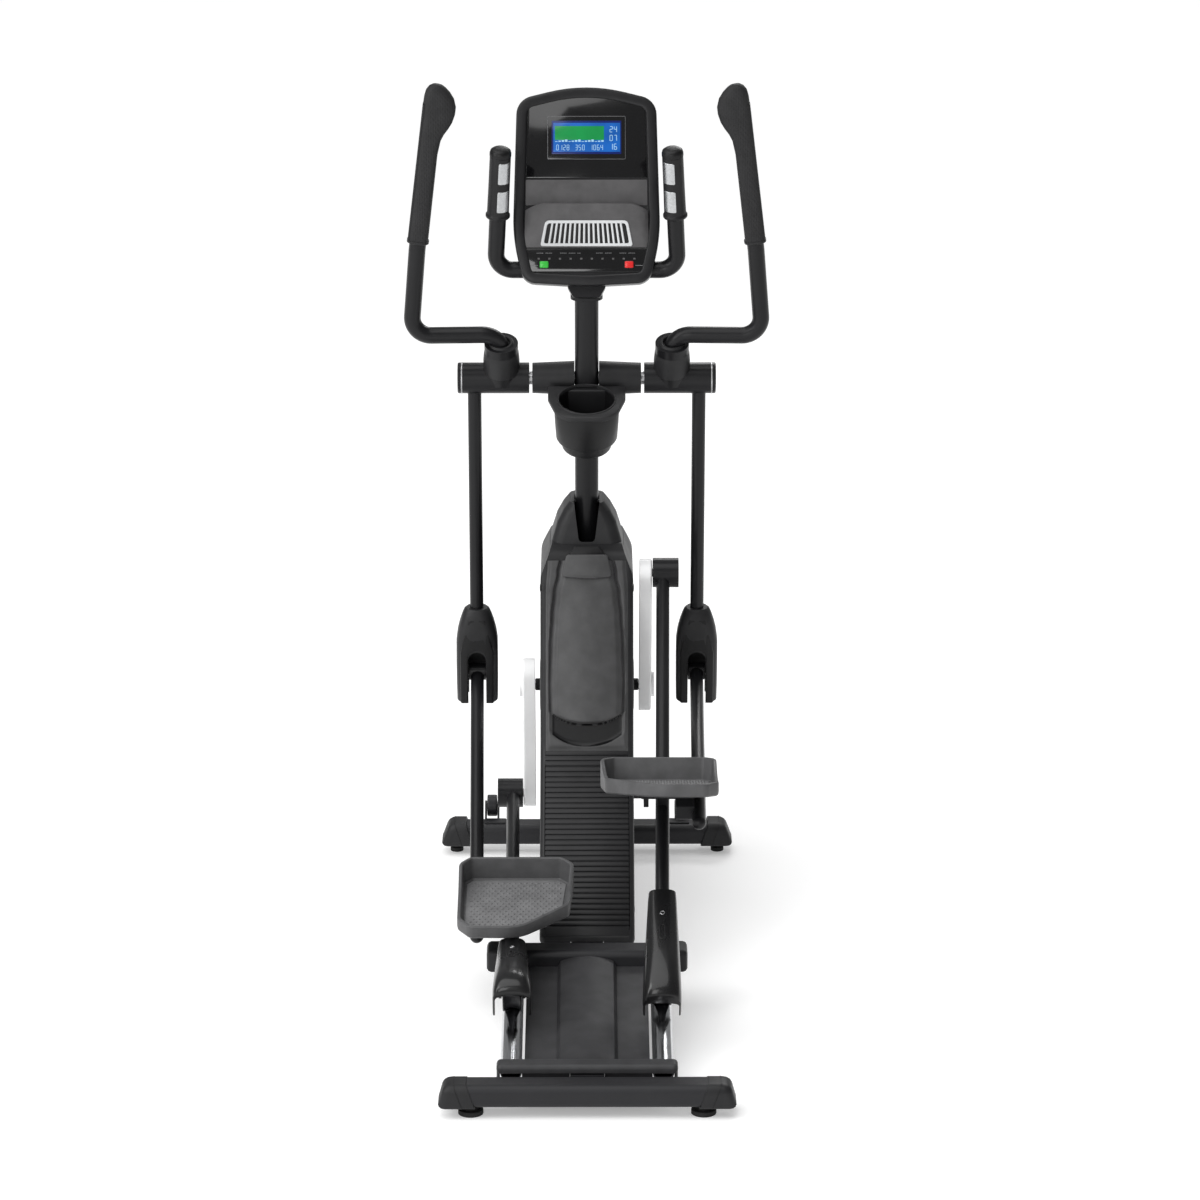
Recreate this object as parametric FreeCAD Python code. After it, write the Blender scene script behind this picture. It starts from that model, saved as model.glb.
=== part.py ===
import FreeCAD, Part
import math
import os

# Elliptical trainer with a front flywheel, rear rails, moving handlebars and a console.
# Millimetres, +Z up, +Y towards the front of the machine, the user stands at -Y facing +Y.
# Lengths along Y are laid out from the rear stabiliser, then the whole model is centred on Y = 0.

V = FreeCAD.Vector

# ---- overall layout -------------------------------------------------------------------------
REAR_STABILISER_Y = 0.0
FRONT_STABILISER_Y = 1412.0
REAR_WIDTH = 520.0
FRONT_WIDTH = 590.0
STABILISER_DEPTH = 60.0
STABILISER_HEIGHT = 40.0
STABILISER_ROUND = 14.0
FLOOR_GAP = 20.0
STABILISER_TOP = FLOOR_GAP + STABILISER_HEIGHT
CROSS_Y = (500.0, 560.0)
CROSS_Z = (76.0, 114.0)
CROSS_HALF = 160.0
SHROUD_FRONT_Y = 1470.0
TRANSPORT_WHEEL = (1457.5, 80.0)
TRANSPORT_R = 22.0
TRANSPORT_X = (182.0, 202.0)
REAR_CAP_GROW = 1.5
FRONT_CAP_GROW = 5.0
REAR_MOST = REAR_STABILISER_Y - STABILISER_DEPTH / 2 - REAR_CAP_GROW
MID_Y = (TRANSPORT_WHEEL[0] + TRANSPORT_R + REAR_MOST) / 2

# ---- linkage ---------------------------------------------------------------------------------
HUB = (1165.0, 425.0)
CRANK_R = 255.0
CRANK_ANGLE = 106.0
ROLLER_ARM = 970.0
PEDAL_FRACTION = 0.58
PEDAL_OFFSET = 25.0
SLOPE = 5.5
ROLLER_LINE = (300.0, 130.0)
PEDAL_ARM = 595.0
PEDAL_ARM_TAIL = 119.0
SWING_AXIS = (1136.0, 1044.0)
SWING_ARM = 608.0

# ---- tubes and shafts --------------------------------------------------------------------------
RUN = 0.05
ARM_R = 12.7
LINK_R = 13.0
HANDLE_R = 15.9
SWING_AXLE_R = 12.7
RAIL_R = 19.0
RAIL_X = 133.0
RAIL_DROP = 50.0
RAIL_START = 52.0
CRANK_IN = 101.0
CRANK_OUT = 125.0
CRANK_AXLE_R = 10.0
CRANK_PIN_R = 8.0
SLEEVE_R = 28.5
SLEEVE_BORE = 18.5
SLEEVE_IN = 126.5
SLEEVE_OUT = 176.0
ARM_FRONT_X = 146.0
ARM_REAR_X = 134.0
ROLLER_AXLE_R = 8.0
ROLLER_WIDTH = 33.0
PEDAL_PIN_R = 6.0
PEDAL_PIN_HOLE = 10.6
KNEE_X = 214.0
KNEE_PIN_R = 7.0
PEDAL_END_X = 203.5
SLEEVE_SWING_IN = 109.5
SLEEVE_SWING_OUT = 246.0
SWING_SLEEVE_R = 29.5
HANDLE_X = 162.0
HANDLE_TILT = 25.0

# ---- pedals --------------------------------------------------------------------------------------
PEDAL_TILT = -19.5
PEDAL_FRONT = (0.0, 17.0)
PEDAL_LENGTH = 228.0
PEDAL_IN = 24.0
PEDAL_WIDE = 213.0
PEDAL_DEPTH = 56.0

# ---- shroud ------------------------------------------------------------------------------------
SHROUD_HALF = 89.0
SHROUD_WALL = 3.0
RIB_LOW = (664.0, 84.0)
RIB_HIGH = (950.0, 356.0)
SHOULDER = (1066.0, 716.0)
RIB_COUNT = 33
RIB_HALF = 80.0
SHROUD_FLOOR = 66.0
# height, half width, rear and front of the mast collar
COLLAR = ((706, 74, 1084, 1234), (735, 66, 1090, 1230), (765, 57, 1096, 1224),
          (788, 45, 1102, 1218), (804, 33, 1108, 1212))

# ---- drive -------------------------------------------------------------------------------------
PULLEY_R = 140.0
DRIVE_X = (-62.0, -46.0)
FLYWHEEL = (1332.0, 262.0)
FLYWHEEL_R = 112.0
FLYWHEEL_PULLEY_R = 24.0
BELT = 3.0
IDLER_R = 18.0
FLYWHEEL_AXLE_R = 8.0
MAGNET_PIVOT = (1300.0, 392.0)
INLET = (55.0, 105.0)

# ---- mast and console --------------------------------------------------------------------------
MAST_TILT = 6.0
MAST_WIDTH = 45.0
MAST_DEPTH = 70.0
MAST_LOW = 600.0
MAST_TOP = 1214.0
CONSOLE_FOOT = (1062.0, 1243.0)
CONSOLE_TILT = -19.0
CONSOLE_WIDTH = 278.0
CONSOLE_HEIGHT = 372.0
# low and high sides of the openings, then half widths at the grille's low and high side
DISPLAY = (-66.0, 66.0, 250.0, 308.0)
GRILLE = (70.0, 120.0, 88.0, 78.0)
BUTTON_X = 80.0
BUTTON_Z = 36.0
BUTTON_R = 6.6
CUP_AT = (1047.0, 1022.0)
CUP_TILT = 18.0
CUP_R = 62.0
CUP_BORE = 52.5
CUP_DEPTH = 82.0


def rot(point, angle):
    c, s = math.cos(math.radians(angle)), math.sin(math.radians(angle))
    return (point[0] * c - point[1] * s, point[0] * s + point[1] * c)


def along(start, angle, distance):
    c, s = math.cos(math.radians(angle)), math.sin(math.radians(angle))
    return (start[0] + distance * c, start[1] + distance * s)


def heading(start, end):
    return math.degrees(math.atan2(end[1] - start[1], end[0] - start[0]))


def span(start, end):
    return math.hypot(end[0] - start[0], end[1] - start[1])


def meet(a, ra, b, rb, side):
    """Where a circle about a meets one about b, on the left (+1) or right (-1) going from a to b."""
    d = span(a, b)
    reach = (ra * ra - rb * rb + d * d) / (2 * d)
    rise = math.sqrt(ra * ra - reach * reach)
    foot = along(a, heading(a, b), reach)
    return along(foot, heading(a, b) + 90 * side, rise)


def roller_line(y):
    return ROLLER_LINE[1] + math.tan(math.radians(SLOPE)) * (y - ROLLER_LINE[0])


def linkage(crank_angle):
    """Crank pin, roller, pedal pivot, knee and pedal arm tail in the machine's side plane."""
    pin = along(HUB, crank_angle, CRANK_R)
    y = pin[0] - ROLLER_ARM
    for _ in range(60):
        y = pin[0] - math.sqrt(ROLLER_ARM**2 - (pin[1] - roller_line(y)) ** 2)
    roller = (y, roller_line(y))
    arm = heading(roller, pin)
    pivot = along(along(pin, arm + 180, ROLLER_ARM * PEDAL_FRACTION), arm + 90, PEDAL_OFFSET)
    knee = meet(SWING_AXIS, SWING_ARM, pivot, PEDAL_ARM, -1)
    if knee[0] < pivot[0] + PEDAL_ARM / 2:
        knee = meet(SWING_AXIS, SWING_ARM, pivot, PEDAL_ARM, 1)
    tail = along(pivot, heading(knee, pivot), PEDAL_ARM_TAIL)
    return {"pin": pin, "roller": roller, "pivot": pivot, "knee": knee, "tail": tail}


def box(x0, x1, y0, y1, z0, z1):
    return Part.makeBox(x1 - x0, y1 - y0, z1 - z0, V(x0, y0, z0))


def rod(start, end, r):
    """A round bar from one point to another."""
    return Part.makeCylinder(r, (end - start).Length, start, end - start)


def bar_x(at, r, x0, x1):
    """A round bar along X at a place in the side plane."""
    return Part.makeCylinder(r, x1 - x0, V(x0, at[0], at[1]), V(1, 0, 0))


def outline(corners, plane="x", at=0.0):
    """Closed wire from (first, second, corner radius) corners in the plane across X, Y or Z."""
    def place(corner):
        if plane == "x":
            return V(at, corner[0], corner[1])
        if plane == "y":
            return V(corner[0], at, corner[1])
        return V(corner[0], corner[1], at)

    count = len(corners)
    runs = []
    for i in range(count):
        here = place(corners[i])
        r = corners[i][2]
        back = (place(corners[i - 1]) - here).normalize()
        ahead = (place(corners[(i + 1) % count]) - here).normalize()
        if r <= 0:
            runs.append((here, here, None))
            continue
        half = back.getAngle(ahead) / 2
        reach = r / math.tan(half)
        middle = here + (back + ahead).normalize() * (r / math.sin(half) - r)
        runs.append((here + back * reach, here + ahead * reach, middle))
    edges = []
    for i in range(count):
        start, end, middle = runs[i]
        if middle is not None:
            edges.append(Part.Arc(start, middle, end).toShape())
        after = runs[(i + 1) % count][0]
        if (after - end).Length > 1e-6:
            edges.append(Part.LineSegment(end, after).toShape())
    return Part.Wire(edges)


def slab(corners, x0, x1):
    """A side-plane (y, z, radius) outline, extruded along X."""
    return Part.Face(outline(corners, "x", x0)).extrude(V(x1 - x0, 0, 0))


def plate_y(corners, y0, y1):
    """An (x, z, radius) outline, extruded along Y."""
    return Part.Face(outline(corners, "y", y0)).extrude(V(0, y1 - y0, 0))


def plate_z(corners, z0, z1):
    """An (x, y, radius) outline, extruded along Z."""
    return Part.Face(outline(corners, "z", z0)).extrude(V(0, 0, z1 - z0))


def pipe(points, r, bend):
    """A round bar along straight runs joined by tangent arcs of one radius."""
    edges = []
    start = points[0]
    for i in range(1, len(points) - 1):
        here = points[i]
        back = (points[i - 1] - here).normalize()
        ahead = (points[i + 1] - here).normalize()
        half = back.getAngle(ahead) / 2
        reach = bend / math.tan(half)
        first, last = here + back * reach, here + ahead * reach
        middle = here + (back + ahead).normalize() * (bend / math.sin(half) - bend)
        edges.append(Part.LineSegment(start, first).toShape())
        edges.append(Part.Arc(first, middle, last).toShape())
        start = last
    edges.append(Part.LineSegment(start, points[-1]).toShape())
    ring = Part.Wire([Part.makeCircle(r, points[0], points[1] - points[0])])
    return Part.Wire(edges).makePipeShell([ring], True, True)


def pulley_hull(a, ra, b, rb):
    """The side-plane face inside a belt round two circles."""
    lean = math.degrees(math.acos((ra - rb) / span(a, b)))
    line = heading(a, b)
    up_a, down_a = along(a, line + lean, ra), along(a, line - lean, ra)
    up_b, down_b = along(b, line + lean, rb), along(b, line - lean, rb)
    far_a, far_b = along(a, line + 180, ra), along(b, line, rb)
    edges = [
        Part.Arc(V(0, *up_a), V(0, *far_a), V(0, *down_a)).toShape(),
        Part.LineSegment(V(0, *down_a), V(0, *down_b)).toShape(),
        Part.Arc(V(0, *down_b), V(0, *far_b), V(0, *up_b)).toShape(),
        Part.LineSegment(V(0, *up_b), V(0, *up_a)).toShape(),
    ]
    return Part.Face(Part.Wire(edges))


def posed(shape, at, angle):
    """Turns a piece made about the origin by an angle in the side plane, then puts it at a place."""
    turned = shape.copy()
    turned.rotate(V(0, 0, 0), V(1, 0, 0), angle)
    turned.translate(V(0, at[0], at[1]))
    return turned


def rounded(shape, r, wanted):
    """Rounds the edges whose middle point passes a test."""
    picked = []
    for edge in shape.Edges:
        middle = edge.valueAt((edge.FirstParameter + edge.LastParameter) / 2)
        if wanted(middle, edge):
            picked.append(edge)
    return shape.makeFillet(r, picked)


def fuse(*shapes):
    whole = shapes[0]
    for shape in shapes[1:]:
        whole = whole.fuse(shape)
    return whole.removeSplitter()


def mirrored(shape):
    return shape.mirror(V(0, 0, 0), V(1, 0, 0))


def save(name, *shapes):
    solids = []
    for shape in shapes:
        solids.extend(shape.Solids)
    whole = solids[0] if len(solids) == 1 else Part.makeCompound(solids)
    whole = whole.copy()
    whole.translate(V(0, -MID_Y, 0))
    whole.exportStep("parts/" + name + ".step")


# ---- base --------------------------------------------------------------------------------------
def stabiliser(width, y):
    """Rounded rectangular tube across the machine, between its end caps."""
    half = width / 2 - 50
    d, z0, z1 = STABILISER_DEPTH / 2, FLOOR_GAP, STABILISER_TOP
    r = STABILISER_ROUND
    ring = [(y - d, z0, 10), (y - d, z1, r), (y + d, z1, r), (y + d, z0, 10)]
    core = [(y - d + 3, z0 + 3, 7), (y - d + 3, z1 - 3, 11), (y + d - 3, z1 - 3, 11), (y + d - 3, z0 + 3, 7)]
    return slab(ring, -half, half).cut(slab(core, -half, half))


def end_cap(width, y, grow):
    """Moulded cap with a stub that plugs the tube, slightly larger than the tube outside."""
    half = width / 2
    d, z0, z1 = STABILISER_DEPTH / 2 + grow, FLOOR_GAP - 2, STABILISER_TOP + grow
    shell = slab([(y - d, z0, 8), (y - d, z1, 16), (y + d, z1, 16), (y + d, z0, 8)], half - 50, half)
    shell = rounded(shell, 9, lambda p, e: p.x > half - 0.01)
    plug = [(y - 26.5, z0 + 5.5, 6), (y - 26.5, STABILISER_TOP - 3.5, 10),
            (y + 26.5, STABILISER_TOP - 3.5, 10), (y + 26.5, z0 + 5.5, 6)]
    return fuse(shell, slab(plug, half - 72, half - 48))


def foot(x, y, r, top):
    """Levelling foot: rubber pad, collar and threaded stem."""
    pad = Part.makeCylinder(r, 9, V(x, y, 0))
    pad = rounded(pad, 1.5, lambda p, e: p.z < 0.01 or p.z > 8.99)
    neck = Part.makeCylinder(r * 0.6, top - 9, V(x, y, 9))
    return fuse(pad, neck)


def transport_bracket():
    """Ears and pin in front of the stabiliser that carry a transport wheel, on a plate on its top."""
    y, z = TRANSPORT_WHEEL
    x0, x1 = TRANSPORT_X
    beam = FRONT_STABILISER_Y
    plate = box(x0 - 18, x1 + 4, beam - 14, beam + 14, STABILISER_TOP - 2, STABILISER_TOP + 3)
    ear = slab([(y - 36, STABILISER_TOP - 2, 0), (y - 12, z + 10, 8), (y + 9, z + 10, 8), (y + 9, z - 9, 8),
                (y - 22, STABILISER_TOP - 10, 0)], 0, 4)
    ears = []
    for x in (x0 - 4.6, x1 + 0.6):
        piece = ear.copy()
        piece.translate(V(x, 0, 0))
        ears.append(piece)
    return fuse(plate, *ears, bar_x(TRANSPORT_WHEEL, 4, x0 - 3, x1 + 3))


def base():
    save("rear_stabiliser", stabiliser(REAR_WIDTH, REAR_STABILISER_Y))
    bracket = transport_bracket()
    save("front_stabiliser", fuse(stabiliser(FRONT_WIDTH, FRONT_STABILISER_Y), bracket, mirrored(bracket)))
    caps = []
    for width, y, grow in ((REAR_WIDTH, REAR_STABILISER_Y, REAR_CAP_GROW),
                           (FRONT_WIDTH, FRONT_STABILISER_Y, FRONT_CAP_GROW)):
        right = end_cap(width, y, grow)
        caps += [right, mirrored(right)]
    caps += crossmember_caps()
    save("end_caps", *caps)
    feet = []
    for half, y, r in ((202, REAR_STABILISER_Y, 22), (263, FRONT_STABILISER_Y, 13)):
        feet += [foot(half, y, r, FLOOR_GAP - 2), foot(-half, y, r, FLOOR_GAP - 2)]
    save("levelling_feet", *feet)


def crossmember_caps():
    y0, y1 = CROSS_Y
    z0, z1 = CROSS_Z
    shell = slab([(y0 - 2, z0 - 2, 6), (y0 - 2, z1 + 2, 10), (y1 + 2, z1 + 2, 10), (y1 + 2, z0 - 2, 6)],
                 CROSS_HALF, CROSS_HALF + 24)
    shell = rounded(shell, 6, lambda p, e: p.x > CROSS_HALF + 23.9)
    plug = slab([(y0 + 4, z0 + 4, 4), (y0 + 4, z1 - 4, 6), (y1 - 4, z1 - 4, 6), (y1 - 4, z0 + 4, 4)],
                CROSS_HALF - 20, CROSS_HALF)
    cap = fuse(shell, plug)
    return [cap, mirrored(cap)]


def rail_axis(y):
    return roller_line(y) - RAIL_DROP / math.cos(math.radians(SLOPE))


def rails():
    start = V(RAIL_X, RAIL_START, rail_axis(RAIL_START))
    end = V(RAIL_X, CROSS_Y[0] - 2, rail_axis(CROSS_Y[0] - 2))
    tube = rod(start, end, RAIL_R).cut(rod(start, end, RAIL_R - 2.5))
    save("guide_rails", tube, mirrored(tube))
    y0, y1 = CROSS_Y
    z0, z1 = CROSS_Z
    beam = slab([(y0, z0, 8), (y0, z1, 12), (y1, z1, 12), (y1, z0, 8)], -CROSS_HALF, CROSS_HALF)
    hollow = slab([(y0 + 3, z0 + 3, 5), (y0 + 3, z1 - 3, 9), (y1 - 3, z1 - 3, 9), (y1 - 3, z0 + 3, 5)],
                  -CROSS_HALF, CROSS_HALF)
    beam = beam.cut(hollow)
    riser = box(-30, 30, y0 + 8, y1 - 8, 58, z0)
    save("mid_crossmember", fuse(beam, riser))


def deck():
    """Sloped floor between the rails with a rounded rear rim, and the cover over the spine."""
    drop = 12.0
    y0, y1 = 62.0, 498.0
    top0, top1 = rail_axis(y0) - drop, rail_axis(y1) - drop
    floor = slab([(y0, top0 - 4, 0), (y0, top0, 0), (y1, top1, 0), (y1, top1 - 4, 0)], -110, 110)
    rim = slab([(31, 61, 2), (31, 76, 9), (66, 78, 9), (66, 30, 4), (44, 30, 4), (44, 58, 2)], -158, 158)
    rim = rounded(rim, 8, lambda p, e: abs(p.x) > 157.9 and p.z > 59)
    for side in (-1, 1):
        x, r = side * RAIL_X, RAIL_R + 0.2
        rim = rim.cut(rod(V(x, 40, rail_axis(40)), V(x, 80, rail_axis(80)), r))
        rim = rim.cut(box(x - r, x + r, 40, 80, 20, rail_axis(60)))
    rim = rim.cut(box(-30.5, 30.5, 28, 70, 0, 58.3))
    floor = floor.cut(box(-30.5, 30.5, 28, 520, 0, 58.3))
    save("rear_tray", fuse(rim, floor))
    crown = tunnel(54.0, 20.0, y0 + 6, y1, drop).cut(tunnel(51.0, 17.0, y0 + 2, y1 + 3, drop + 0.5))
    save("spine_cover", crown)


def tunnel(half, rise, y0, y1, drop):
    """Shallow arched bar over the spine, following the rails' slope."""
    left, right, crown = V(-half, 0, 0), V(half, 0, 0), V(0, 0, rise)
    mid_l, mid_r = V(-half + 6, 0, rise - 9), V(half - 6, 0, rise - 9)
    edges = [
        Part.LineSegment(left, mid_l).toShape(),
        Part.Arc(mid_l, crown, mid_r).toShape(),
        Part.LineSegment(mid_r, right).toShape(),
        Part.LineSegment(right, left).toShape(),
    ]
    face = Part.Face(Part.Wire(edges))
    face.translate(V(0, y0, rail_axis(y0) - drop))
    return face.extrude(V(0, y1 - y0, rail_axis(y1) - rail_axis(y0)))


# ---- main frame --------------------------------------------------------------------------------
def mast_at(z):
    return SWING_AXIS[0] - math.tan(math.radians(MAST_TILT)) * (z - SWING_AXIS[1])


def oval(width, depth, r, x=0.0):
    w, d = width / 2, depth / 2
    return [(-w + x, -d, r), (-w + x, d, r), (w + x, d, r), (w + x, -d, r)]


def mast_bar(width, depth, r, low, high):
    """Upright bar of rounded section along the mast's leaning line, between two lengths from its foot."""
    bar = plate_z(oval(width, depth, r), low, high)
    return posed(bar, (mast_at(MAST_LOW), MAST_LOW), MAST_TILT)


def frame():
    spine = box(-30, 30, 30.5, 1381.5, FLOOR_GAP, 58)
    spine = spine.cut(box(-27, 27, 33.5, 1378.5, FLOOR_GAP + 3, 55))
    post = box(-28, 28, 1135, 1195, 57, 560).cut(box(-25, 25, 1138, 1192, 60, 557))
    sleeve = mast_bar(MAST_WIDTH + 7, MAST_DEPTH + 7, 23, -60, 110)
    sleeve = sleeve.cut(mast_bar(MAST_WIDTH + 0.6, MAST_DEPTH + 0.6, 20, 0.2, 200))
    shell = bar_x(HUB, 26, -40, 40)
    body = fuse(spine, post, sleeve, shell, idler_bracket(), magnet_bracket())
    body = body.cut(bar_x(HUB, 21, -41, 41))
    for x0 in (-74.0, 38.0):
        ear = slab([(FLYWHEEL[0] - 26, 57, 0), (FLYWHEEL[0] - 20, FLYWHEEL[1] + 20, 14),
                    (FLYWHEEL[0] + 20, FLYWHEEL[1] + 20, 14), (FLYWHEEL[0] + 26, 57, 0)], x0, x0 + 6)
        foot_plate = box(min(x0, 0), max(x0 + 6, 0), FLYWHEEL[0] - 24, FLYWHEEL[0] + 24, 55, 61)
        body = fuse(body, ear, foot_plate)
    body = body.cut(bar_x(FLYWHEEL, FLYWHEEL_AXLE_R + RUN, -80, 50))
    save("frame_spine", body)
    save("flywheel_axle", flywheel_axle())


def flywheel_axle():
    shaft = bar_x(FLYWHEEL, FLYWHEEL_AXLE_R, -82, 52)
    return fuse(shaft, bar_x(FLYWHEEL, 13, -82, -74.2), bar_x(FLYWHEEL, 13, 44.2, 52))


def mast():
    length = (MAST_TOP - MAST_LOW) / math.cos(math.radians(MAST_TILT))
    tube = mast_bar(MAST_WIDTH, MAST_DEPTH, 20, 0.5, length)
    tube = tube.cut(mast_bar(MAST_WIDTH - 5, MAST_DEPTH - 5, 17.5, -1, length + 1))
    tube = tube.cut(bar_x(SWING_AXIS, SWING_AXLE_R, -40, 40))
    head = mast_bar(MAST_WIDTH + 16, MAST_DEPTH + 4, 20, length - 6, length)
    neck = [(-25, -24, 5), (-37, -2, 2), (-33, -2, 0), (-33, 44, 0),
            (33, 44, 0), (33, -2, 0), (37, -2, 2), (25, -24, 5)]
    save("mast", fuse(tube, head, console_frame(plate_y(neck, 18, 46))))
    axle = bar_x(SWING_AXIS, SWING_AXLE_R, -237, 237)
    save("swing_axle", axle)
    cover = Part.makeCone(32.5, 29.0, 80, V(23.5, *SWING_AXIS), V(1, 0, 0))
    cover = cover.cut(bar_x(SWING_AXIS, SWING_AXLE_R + 0.1, 0, 110))
    cover = cover.cut(mast_bar(MAST_WIDTH + 0.4, MAST_DEPTH + 0.4, 20, 300, 600))
    save("axle_cover", cover, mirrored(cover))


# ---- shroud ------------------------------------------------------------------------------------
def shroud_corners():
    return [
        (RIB_LOW[0] - 4, SHROUD_FLOOR, 6),
        (RIB_LOW[0], RIB_LOW[1], 8),
        (RIB_HIGH[0], RIB_HIGH[1], 60),
        (SHOULDER[0], SHOULDER[1], 30),
        (1090, 730, 12),
        (1236, 730, 50),
        (1420, 560, 160),
        (SHROUD_FRONT_Y, 330, 120),
        (SHROUD_FRONT_Y - 22, SHROUD_FLOOR, 26),
    ]


def inset(corners, wall):
    """The outline moved inwards by a wall's thickness."""
    shape = outline(corners).makeOffset2D(-wall)
    return Part.Face(shape)


def roof(wall):
    """What lies under the shroud's shoulders: upright sides that lean in above them."""
    side, eave, ridge = SHROUD_HALF - wall, 672 - wall, 795 - wall
    ring = [(-1, 0, 0), (-1, ridge, 0), (42, ridge, 0), (side, eave, 60), (side, 0, 0)]
    return plate_y(ring, 500, 1500)


def shroud_half():
    outer = slab(shroud_corners(), 0, SHROUD_HALF)
    outer = rounded(outer, 11, lambda p, e: p.x > SHROUD_HALF - 0.01).common(roof(0))
    wide = inset(shroud_corners(), SHROUD_WALL).extrude(V(SHROUD_HALF - 11, 0, 0))
    deep = inset(shroud_corners(), SHROUD_WALL + 6).extrude(V(SHROUD_HALF - SHROUD_WALL, 0, 0))
    half = outer.cut(wide.common(roof(SHROUD_WALL))).cut(deep.common(roof(SHROUD_WALL)))
    half = half.cut(bar_x(HUB, 15, 50, 100))
    half = half.cut(box(-1, 79, 1286, 1378, 50, 75))
    half = half.cut(box(-1, 31, 640, 1500, 50, 75))
    half = half.cut(rib_opening(RIB_HALF + 0.3, 0.3)).cut(panel_prism(0.3, 40, -12))
    return half.cut(collar_solid(0.4, 705, 805))


def rib_line(u, out):
    """A point on the ribbed slope: u from its foot to its top, out along its outward normal."""
    line = heading(RIB_LOW, RIB_HIGH)
    at = along(RIB_LOW, line, u * span(RIB_LOW, RIB_HIGH))
    return along(at, line + 90, out)


def rib_opening(half, gap):
    low, high = rib_line(0.035, 20), rib_line(0.93, 20)
    under_high, under_low = rib_line(0.93, -20), rib_line(0.035, -20)
    ring = [(low[0], low[1], 0), (high[0], high[1], 0), (under_high[0], under_high[1], 0),
            (under_low[0], under_low[1], 0)]
    return slab(ring, -half, half)


def ribbed_cover():
    """Plate on the slope, with a V groove across it at each pitch."""
    u0, u1 = 0.036, 0.929
    ring = [(*rib_line(u0, 0), 0), (*rib_line(u1, 0), 0), (*rib_line(u1, -9), 0), (*rib_line(u0, -9), 0)]
    plate = slab(ring, -RIB_HALF, RIB_HALF)
    grooves = []
    for i in range(RIB_COUNT):
        u = u0 + (u1 - u0) * (i + 0.5) / RIB_COUNT
        half = 0.0085
        ring = [(*rib_line(u - half, 0.6), 0), (*rib_line(u + half, 0.6), 0),
                (*rib_line(u + half / 3, -3.2), 0), (*rib_line(u - half / 3, -3.2), 0)]
        grooves.append(slab(ring, -RIB_HALF - 1, RIB_HALF + 1))
    return plate.cut(Part.makeCompound(grooves))


def panel_prism(gap, out, back):
    """Trapezium on the upper rear face, wide at the foot and narrow at the shoulders."""
    line = heading(RIB_HIGH, SHOULDER)
    length = span(RIB_HIGH, SHOULDER)
    low, high = 44 - gap, length - 26 + gap
    wide, narrow = 68 + gap, 46 + gap
    ring = [(-wide, low, 10), (-narrow, high, 14), (narrow, high, 14), (wide, low, 10)]
    panel = plate_y(ring, 0, out - back)
    panel.translate(V(0, -out, 0))
    return posed(panel, RIB_HIGH, line - 90)


def collar_solid(grow, low, high):
    """Dome round the mast's foot: wide below, narrow above."""
    rings = []
    for z, half, y0, y1 in COLLAR:
        side, rear, front = half + grow, y0 - grow, y1 + grow
        ring = [(-side, rear, 22), (-side, front, 22), (side, front, 22), (side, rear, 22)]
        rings.append(outline(ring, "z", min(max(z, low), high)))
    return Part.makeLoft(rings, True, True)


def mast_collar():
    solid = collar_solid(0, 706, 804).cut(collar_solid(-3, 704, 801))
    throat = mast_bar(MAST_WIDTH + 3, MAST_DEPTH + 3, 21, 0, 300)
    notch = plate_y([(-25, 810, 0), (25, 810, 0), (15, 732, 8), (-15, 732, 8)], 1060, 1134)
    return solid.cut(throat).cut(notch)


def shrouds():
    right = shroud_half()
    save("shroud_left", mirrored(right))
    save("shroud_right", right.cut(inlet_bar(9.2, 30, 30)))
    save("ribbed_cover", ribbed_cover())
    save("upper_panel", panel_prism(0, -1.5, -6))
    save("mast_collar", mast_collar())


# ---- drive inside the shroud ---------------------------------------------------------------------
def drive():
    save("crank_bearings", *bearings())
    save("crank_axle", crank_axle())
    x0, x1 = DRIVE_X
    pulley = bar_x(HUB, PULLEY_R, x0, x1).cut(bar_x(HUB, PULLEY_R - 10, x0 - 1, x0 + 5))
    pulley = pulley.cut(bar_x(HUB, PULLEY_R - 10, x1 - 5, x1 + 1))
    pulley = fuse(pulley, bar_x(HUB, 30, x0, x1))
    for i in range(6):
        pulley = pulley.cut(bar_x(along(HUB, 60 * i, 80), 26, x0 - 1, x1 + 1))
    save("drive_pulley", pulley.cut(bar_x(HUB, CRANK_AXLE_R, x0 - 1, x1 + 1)))
    wheel = bar_x(FLYWHEEL, FLYWHEEL_R, -25, 25).cut(bar_x(FLYWHEEL, FLYWHEEL_R - 26, -26, -8))
    wheel = wheel.cut(bar_x(FLYWHEEL, FLYWHEEL_R - 26, 8, 26))
    wheel = fuse(wheel, bar_x(FLYWHEEL, 18, -66, 36), bar_x(FLYWHEEL, FLYWHEEL_PULLEY_R, x0, x1))
    save("flywheel", wheel.cut(bar_x(FLYWHEEL, FLYWHEEL_AXLE_R + RUN, -70, 40)))
    gap = 0.3
    band = pulley_hull(HUB, PULLEY_R + gap + BELT, FLYWHEEL, FLYWHEEL_PULLEY_R + gap + BELT)
    hole = pulley_hull(HUB, PULLEY_R + gap, FLYWHEEL, FLYWHEEL_PULLEY_R + gap)
    belt = band.cut(hole).extrude(V(x1 - x0 - 3, 0, 0))
    belt.translate(V(x0 + 1.5, 0, 0))
    save("drive_belt", belt)
    save("idler_wheel", idler())
    save("magnet_brake", magnet_brake())
    save("power_inlet", power_inlet())


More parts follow.
